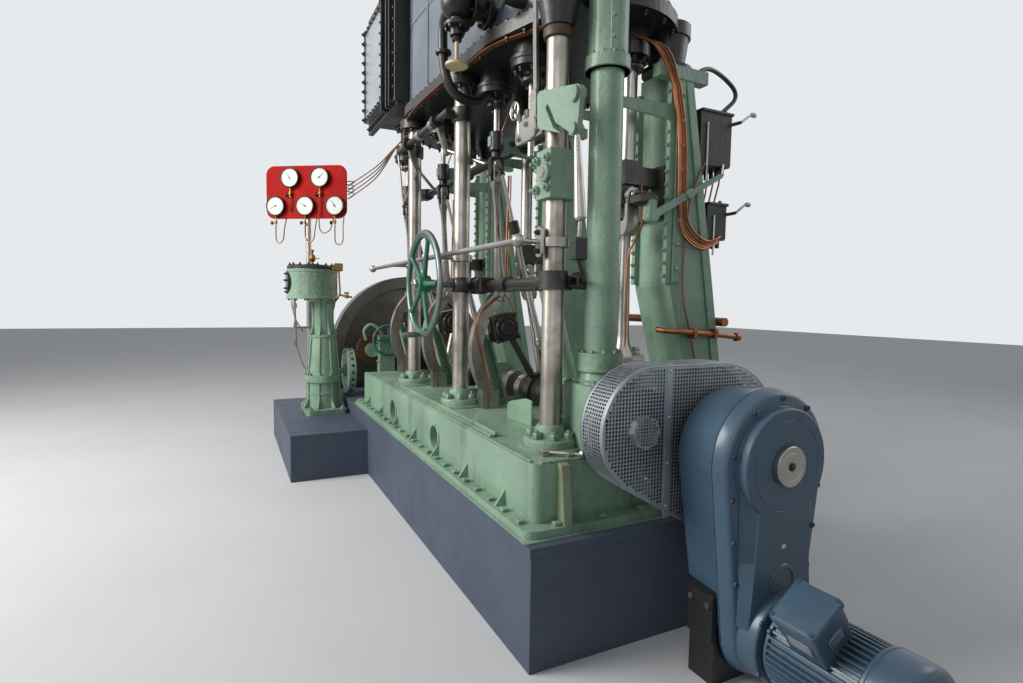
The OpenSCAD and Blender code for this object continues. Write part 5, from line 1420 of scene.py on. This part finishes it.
def add_tube_column(paint, bolts):
    """Riveted joint strip, bands and nuts of the tube column."""
    d, side = swing(X, Y, math.radians(-20))
    strip = frame_at(TUBE + d * 0.094 + Z * 2.785, side, Z, d)
    paint.plate([(-0.016, 0), (0.016, 0), (0.016, 1.19), (-0.016, 1.19)], strip, 0.009, 0.002)
    bolts.nuts([strip(0, h, 0.008) for h in row(0.06, 0.098, 12)], d, 0.012, 0.012, 0.006)
    for z, r, n in ((2.775, 0.098, 12), (1.355, 0.097, 10)):
        bolts.nut_ring(TUBE + Z * z, Z, n, r, 0.2, 0.011, 0.012, 0.006)
    for z, r in ((1.21, 0.112), (1.262, 0.112), (2.712, 0.11)):
        paint.lathe([(r - 0.002, z), (r + 0.004, z + 0.003), (r + 0.004, z + 0.011),
                     (r - 0.002, z + 0.014)], TUBE, Z, 48)
    bolts.nuts([TUBE + Vector((dx, dy, 1.203)) for dy in (-0.11, 0.11) for dx in (-0.11, 0.11)],
               Z, 0.018, 0.016, 0.01)


def add_pipe_bundle(pipes):
    """Five oil pipes that run down beside the near back column."""
    route = [(0.035, 2.977), (0.16, 2.819), (0.193, 2.718), (0.231, 2.509), (0.247, 2.183),
             (0.284, 2.019), (0.409, 1.943)]
    for i in range(5):
        shift = (i - 2) * 0.0125
        middle = [(1.482 + abs(shift) * 0.3, y + shift, z + shift * (0.9 if z < 2.1 else 0.2))
                  for y, z in route]
        pipes.tube([(1.3 - i * 0.03, -0.1 - shift, 3.105), *middle,
                    (1.47, 0.54 + shift, 1.975 + shift), (1.435 - i * 0.02, 0.6, 1.992)], 0.0062, 8)


def build_copper_pipes():
    pipes = Shape()
    add_pipe_bundle(pipes)
    for s in (0.0, 0.014, 0.028):
        pipes.tube([(1.22 + s, -0.42, 3.098), (1.05, -0.5 - s, 3.092), (0.8, -0.6 - s, 3.09),
                    (0.55, -0.62 - s, 3.09), (0.1, -0.66 - s, 3.09), (-0.5, -0.67 - s, 3.09),
                    (-0.95, -0.62 - s, 3.095)], 0.006, 8)
    pipes.tube([(1.36, 0.06, 2.28), (1.385, 0.052, 2.137), (1.385, 0.051, 2.035), (1.372, 0.012, 1.945),
                (1.35, -0.01, 1.851), (1.345, -0.01, 1.6), (1.345, -0.01, 1.427),
                (1.35, -0.02, 1.348), (1.36, -0.02, 1.3)], 0.0065, 8)
    pipes.tube([(1.474, back_y(2.41) + 0.03, 2.41), (1.478, 0.36, 2.3), (1.478, 0.3, 2.1),
                (1.478, 0.28, 1.7), (1.478, 0.36, 1.4), (1.478, 0.44, 1.1), (1.478, 0.46, 0.93)],
               0.0055, 8)
    for i in range(4):
        high, low = 1.25 + i * 0.05, 1.27 + i * 0.045
        pipes.tube([(high, 0.6, 2.41), (high, 0.61, 2.34), (low, 0.585, 2.26), (low, 0.56, 2.18)], 0.005, 8)
    pipes.tube([(1.4, 0.17, 1.455), (1.46, 0.2, 1.45), (1.494, 0.28, 1.445), (1.494, 0.5, 1.43),
                (1.49, 0.7, 1.41)], 0.016, 14)
    pipes.disc((1.49, 0.695, 1.41), Y, 0.025, 0.034, 0.007, 20)
    for y in (0.36, 0.52):
        pipes.box((1.448, y - 0.012, 1.405), (1.516, y + 0.012, 1.462), 0.005)
    make("copper_pipes", pipes, copper)


def build_lubricators(iron, bright):
    """Rims, sight feeds, fillers and drive arms of the two oil boxes, and the bent pipe above."""
    iron.tube([(1.4, 0.4, 2.905), (1.4, 0.44, 2.945), (1.38, 0.53, 2.975), (1.35, 0.66, 2.965),
               (1.33, 0.775, 2.92), (1.33, 0.785, 2.86), (1.33, 0.7, 2.78), (1.33, 0.6, 2.7)],
              0.013, 12)
    for z0, z1, y1 in ((2.41, 2.7, 0.631), (1.99, 2.18, 0.616)):
        y0 = back_y(z0)
        iron.box((1.192, y0 + 0.006, z1 - 0.002), (1.468, y1 + 0.01, z1 + 0.016), 0.004)
        iron.box((1.198, y0 + 0.004, z0 - 0.01), (1.462, y1 - 0.006, z0 + 0.002), 0.003)
        for x in row(1.225, 0.042, 6):
            iron.lathe([(0.009, -0.055), (0.013, -0.05), (0.013, -0.012), (0.009, -0.008)],
                       (x, y1 - 0.04, z0), Z, 12)
            iron.nut((x, y1 - 0.03, z1 + 0.015), Z, 0.01, 0.018)
        elbow = (1.5, y1 + 0.03, z1 - 0.04)
        iron.bar((1.44, y1 - 0.01, z1 - 0.05), elbow, 0.01)
        bright.bar(elbow, (1.5, y1 + 0.115, z1 + 0.02), 0.008, 0.006)
        bright.lathe([(0.01, 0), (0.014, 0.01), (0.014, 0.03), (0.008, 0.036)],
                     (1.5, y1 + 0.11, z1 + 0.016), Y, 16)
        bright.bar((1.464, y0 + 0.05, z1 - 0.06), (1.464, y0 + 0.05, z0 - 0.1), 0.006)
    make("lubricator_details", iron, black)


def build_lubricator_drive(bright):
    """Block on the crosshead and the green lever that works the oil boxes."""
    block, lever = Shape(), Shape()
    block.box((1.385, -0.036, 2.14), (1.478, 0.084, 2.2), 0.012)
    block.nuts([(1.43, y, 2.199) for y in (-0.02, 0.066)], Z, 0.017, 0.018, 0.012)
    make("crosshead_block", block, dark_steel)
    a, b = Vector((1.5, 0.03, 2.075)), Vector((1.5, 0.52, 2.34))
    along = (b - a).normalized()
    outline = [(-0.02, -0.024), (0.3, -0.018), (0.56, -0.014), (0.575, 0.0), (0.56, 0.014),
               (0.3, 0.018), (-0.02, 0.024), (-0.04, 0.0)]
    lever.plate(outline, frame_at(a - X * 0.009, along, along.cross(X), X), 0.018, 0.003)
    lever.lathe([(0.034, -0.024), (0.036, -0.02), (0.036, 0.014), (0.03, 0.018)], a, X, 28)
    lever.lathe([(0.028, -0.04), (0.03, -0.036), (0.03, 0.014), (0.024, 0.018)], a + along * 0.29, X, 28)
    lever.box((1.44, 0.012, 2.05), (1.5, 0.058, 2.165), 0.01)
    make("lubricator_lever", lever, green)
    bright.bar(b, (1.47, 0.56, 2.41), 0.009)


def build_frame_details():
    paint, bolts, iron, bright = (Shape() for _ in range(4))
    for x in CRANK_XS:
        add_back_column(x, paint, bolts)
    add_near_bracket(paint, bolts, iron, bright)
    add_hand_lever(iron, bright)
    add_tube_column(paint, bolts)
    make("frame_strips", paint, green)
    make("frame_bolts", bolts, green)
    build_copper_pipes()
    build_lubricators(iron, bright)
    build_lubricator_drive(bright)
    make("frame_bright", bright, steel)


# Turning gear

def add_teeth(teeth, centre, count, r, size, bevel):
    for t in turns(count):
        out, along = swing(Y, Z, t)
        teeth.block(frame_at(Vector(centre) + out * r, X, along, out), size, bevel)


def build_turning_gear():
    teeth, hooks = Shape(), Shape()
    add_teeth(teeth, (-2.25, 0, CRANK_Z), 48, 0.377, (0.078, 0.026, 0.026), 0.004)
    add_teeth(teeth, (-2.174, -0.65, 1.065), 26, 0.147, (0.046, 0.018, 0.018), 0.003)
    make("turning_teeth", teeth, rusty)
    hooks.disc((-2.15, -0.65, 1.065), -X, 0.055, 0.024, 0.005)
    hooks.nuts([(-2.09, -0.595, z) for z in (0.75, 0.95, 1.15)], -Y, 0.016, 0.014, 0.008)
    hooks.nuts([(x, y, 0.6) for x in (-2.165, -2.015) for y in (-0.62, -0.41)], Z, 0.018, 0.018, 0.01)
    hooks.tube([(-2.03, -0.56, 1.2), (-2.02, -0.62, 1.3), (-2.02, -0.7, 1.34), (-2.02, -0.76, 1.28),
                (-2.03, -0.74, 1.18)], 0.016, 12)
    make("turning_hooks", hooks, green)


# Camera, light and floor

LENS_MM, SENSOR_MM = 20.06, 36
CAMERA_AT = Vector((3.95, -2.03, 1.6))
YAW, PITCH, ROLL = (math.radians(a) for a in (26.52, 3.98, -0.89))


def add_camera():
    forward = Vector((-math.cos(YAW) * math.cos(PITCH), math.sin(YAW) * math.cos(PITCH), -math.sin(PITCH)))
    level = forward.cross(Z).normalized()
    down = forward.cross(level)
    right = math.cos(ROLL) * level + math.sin(ROLL) * down
    up = math.sin(ROLL) * level - math.cos(ROLL) * down
    turn = Matrix((right, up, -forward)).transposed()
    data = bpy.data.cameras.new("camera")
    data.lens = LENS_MM
    data.sensor_width = SENSOR_MM
    data.sensor_fit = "HORIZONTAL"
    data.clip_start = 0.05
    camera = bpy.data.objects.new("camera", data)
    camera.matrix_world = Matrix.Translation(CAMERA_AT) @ turn.to_4x4()
    bpy.context.collection.objects.link(camera)
    bpy.context.scene.camera = camera


def add_lamp(name, at, aim, size, watts, colour):
    data = bpy.data.lights.new(name, "AREA")
    data.shape = "DISK"
    data.size = size
    data.energy = watts
    data.color = colour
    lamp = bpy.data.objects.new(name, data)
    lamp.location = at
    lamp.rotation_euler = (Vector(aim) - Vector(at)).to_track_quat("-Z", "Y").to_euler()
    bpy.context.collection.objects.link(lamp)


def seen_rays(tree):
    """1 for the rays that show the background: camera, glossy and transmission rays."""
    path = tree.nodes.new("ShaderNodeLightPath")
    seen = path.outputs["Is Camera Ray"]
    for ray in ("Is Glossy Ray", "Is Transmission Ray"):
        either = tree.nodes.new("ShaderNodeMath")
        either.operation = "MAXIMUM"
        tree.links.new(seen, either.inputs[0])
        tree.links.new(path.outputs[ray], either.inputs[1])
        seen = either.outputs[0]
    return seen


def light_world():
    world = bpy.data.worlds.new("studio")
    bpy.context.scene.world = world
    world.use_nodes = True
    tree = world.node_tree
    light = tree.nodes["Background"]
    light.inputs["Color"].default_value = (0.93, 0.96, 1.0, 1)
    light.inputs["Strength"].default_value = 0.24
    shown = tree.nodes.new("ShaderNodeBackground")
    shown.inputs["Color"].default_value = (0.8, 0.82, 0.84, 1)
    mix = tree.nodes.new("ShaderNodeMixShader")
    tree.links.new(seen_rays(tree), mix.inputs[0])
    tree.links.new(light.outputs[0], mix.inputs[1])
    tree.links.new(shown.outputs[0], mix.inputs[2])
    tree.links.new(mix.outputs[0], tree.nodes["World Output"].inputs["Surface"])


def add_floor():
    bpy.ops.mesh.primitive_plane_add(size=60, location=(0, 0, -0.001))
    floor = bpy.context.object
    floor.name = "floor"
    g = Graph("floor_paint")
    tone = g.mix(g.ramp(g.noise(0.8, 4), 0.3, 0.7), (0.62, 0.63, 0.64, 1), (0.58, 0.59, 0.6, 1))
    g.link(tone, g.shader.inputs["Base Color"])
    g.shader.inputs["Roughness"].default_value = 0.7
    floor.data.materials.append(g.material)
    floor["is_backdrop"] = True


finish_nodes()
build_guard()
build_gearmotor()
build_handwheel()
build_columns()
build_block()
build_valve_gear()
build_connecting_rods()
build_gauge_board()
build_auxiliary()
build_bed_details()
build_frame_details()
build_turning_gear()

bpy.context.scene.view_settings.view_transform = "Standard"
add_camera()
light_world()
add_floor()
add_lamp("key", (-1.0, -8.0, 5.5), (0, 0, 1.6), 5.0, 880, (1.0, 0.98, 0.95))
add_lamp("fill", (8.0, -5.0, 5.0), (1, 0, 1.5), 5.0, 60, (0.92, 0.96, 1.0))
add_lamp("back", (3.0, 8.0, 6.5), (0, 0, 2.0), 5.0, 150, (0.95, 0.98, 1.0))

boxes = {"cad": cad_box, "visual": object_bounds()}
sizes = {name: [[float(v) for v in corner] for corner in box] for name, box in boxes.items()}
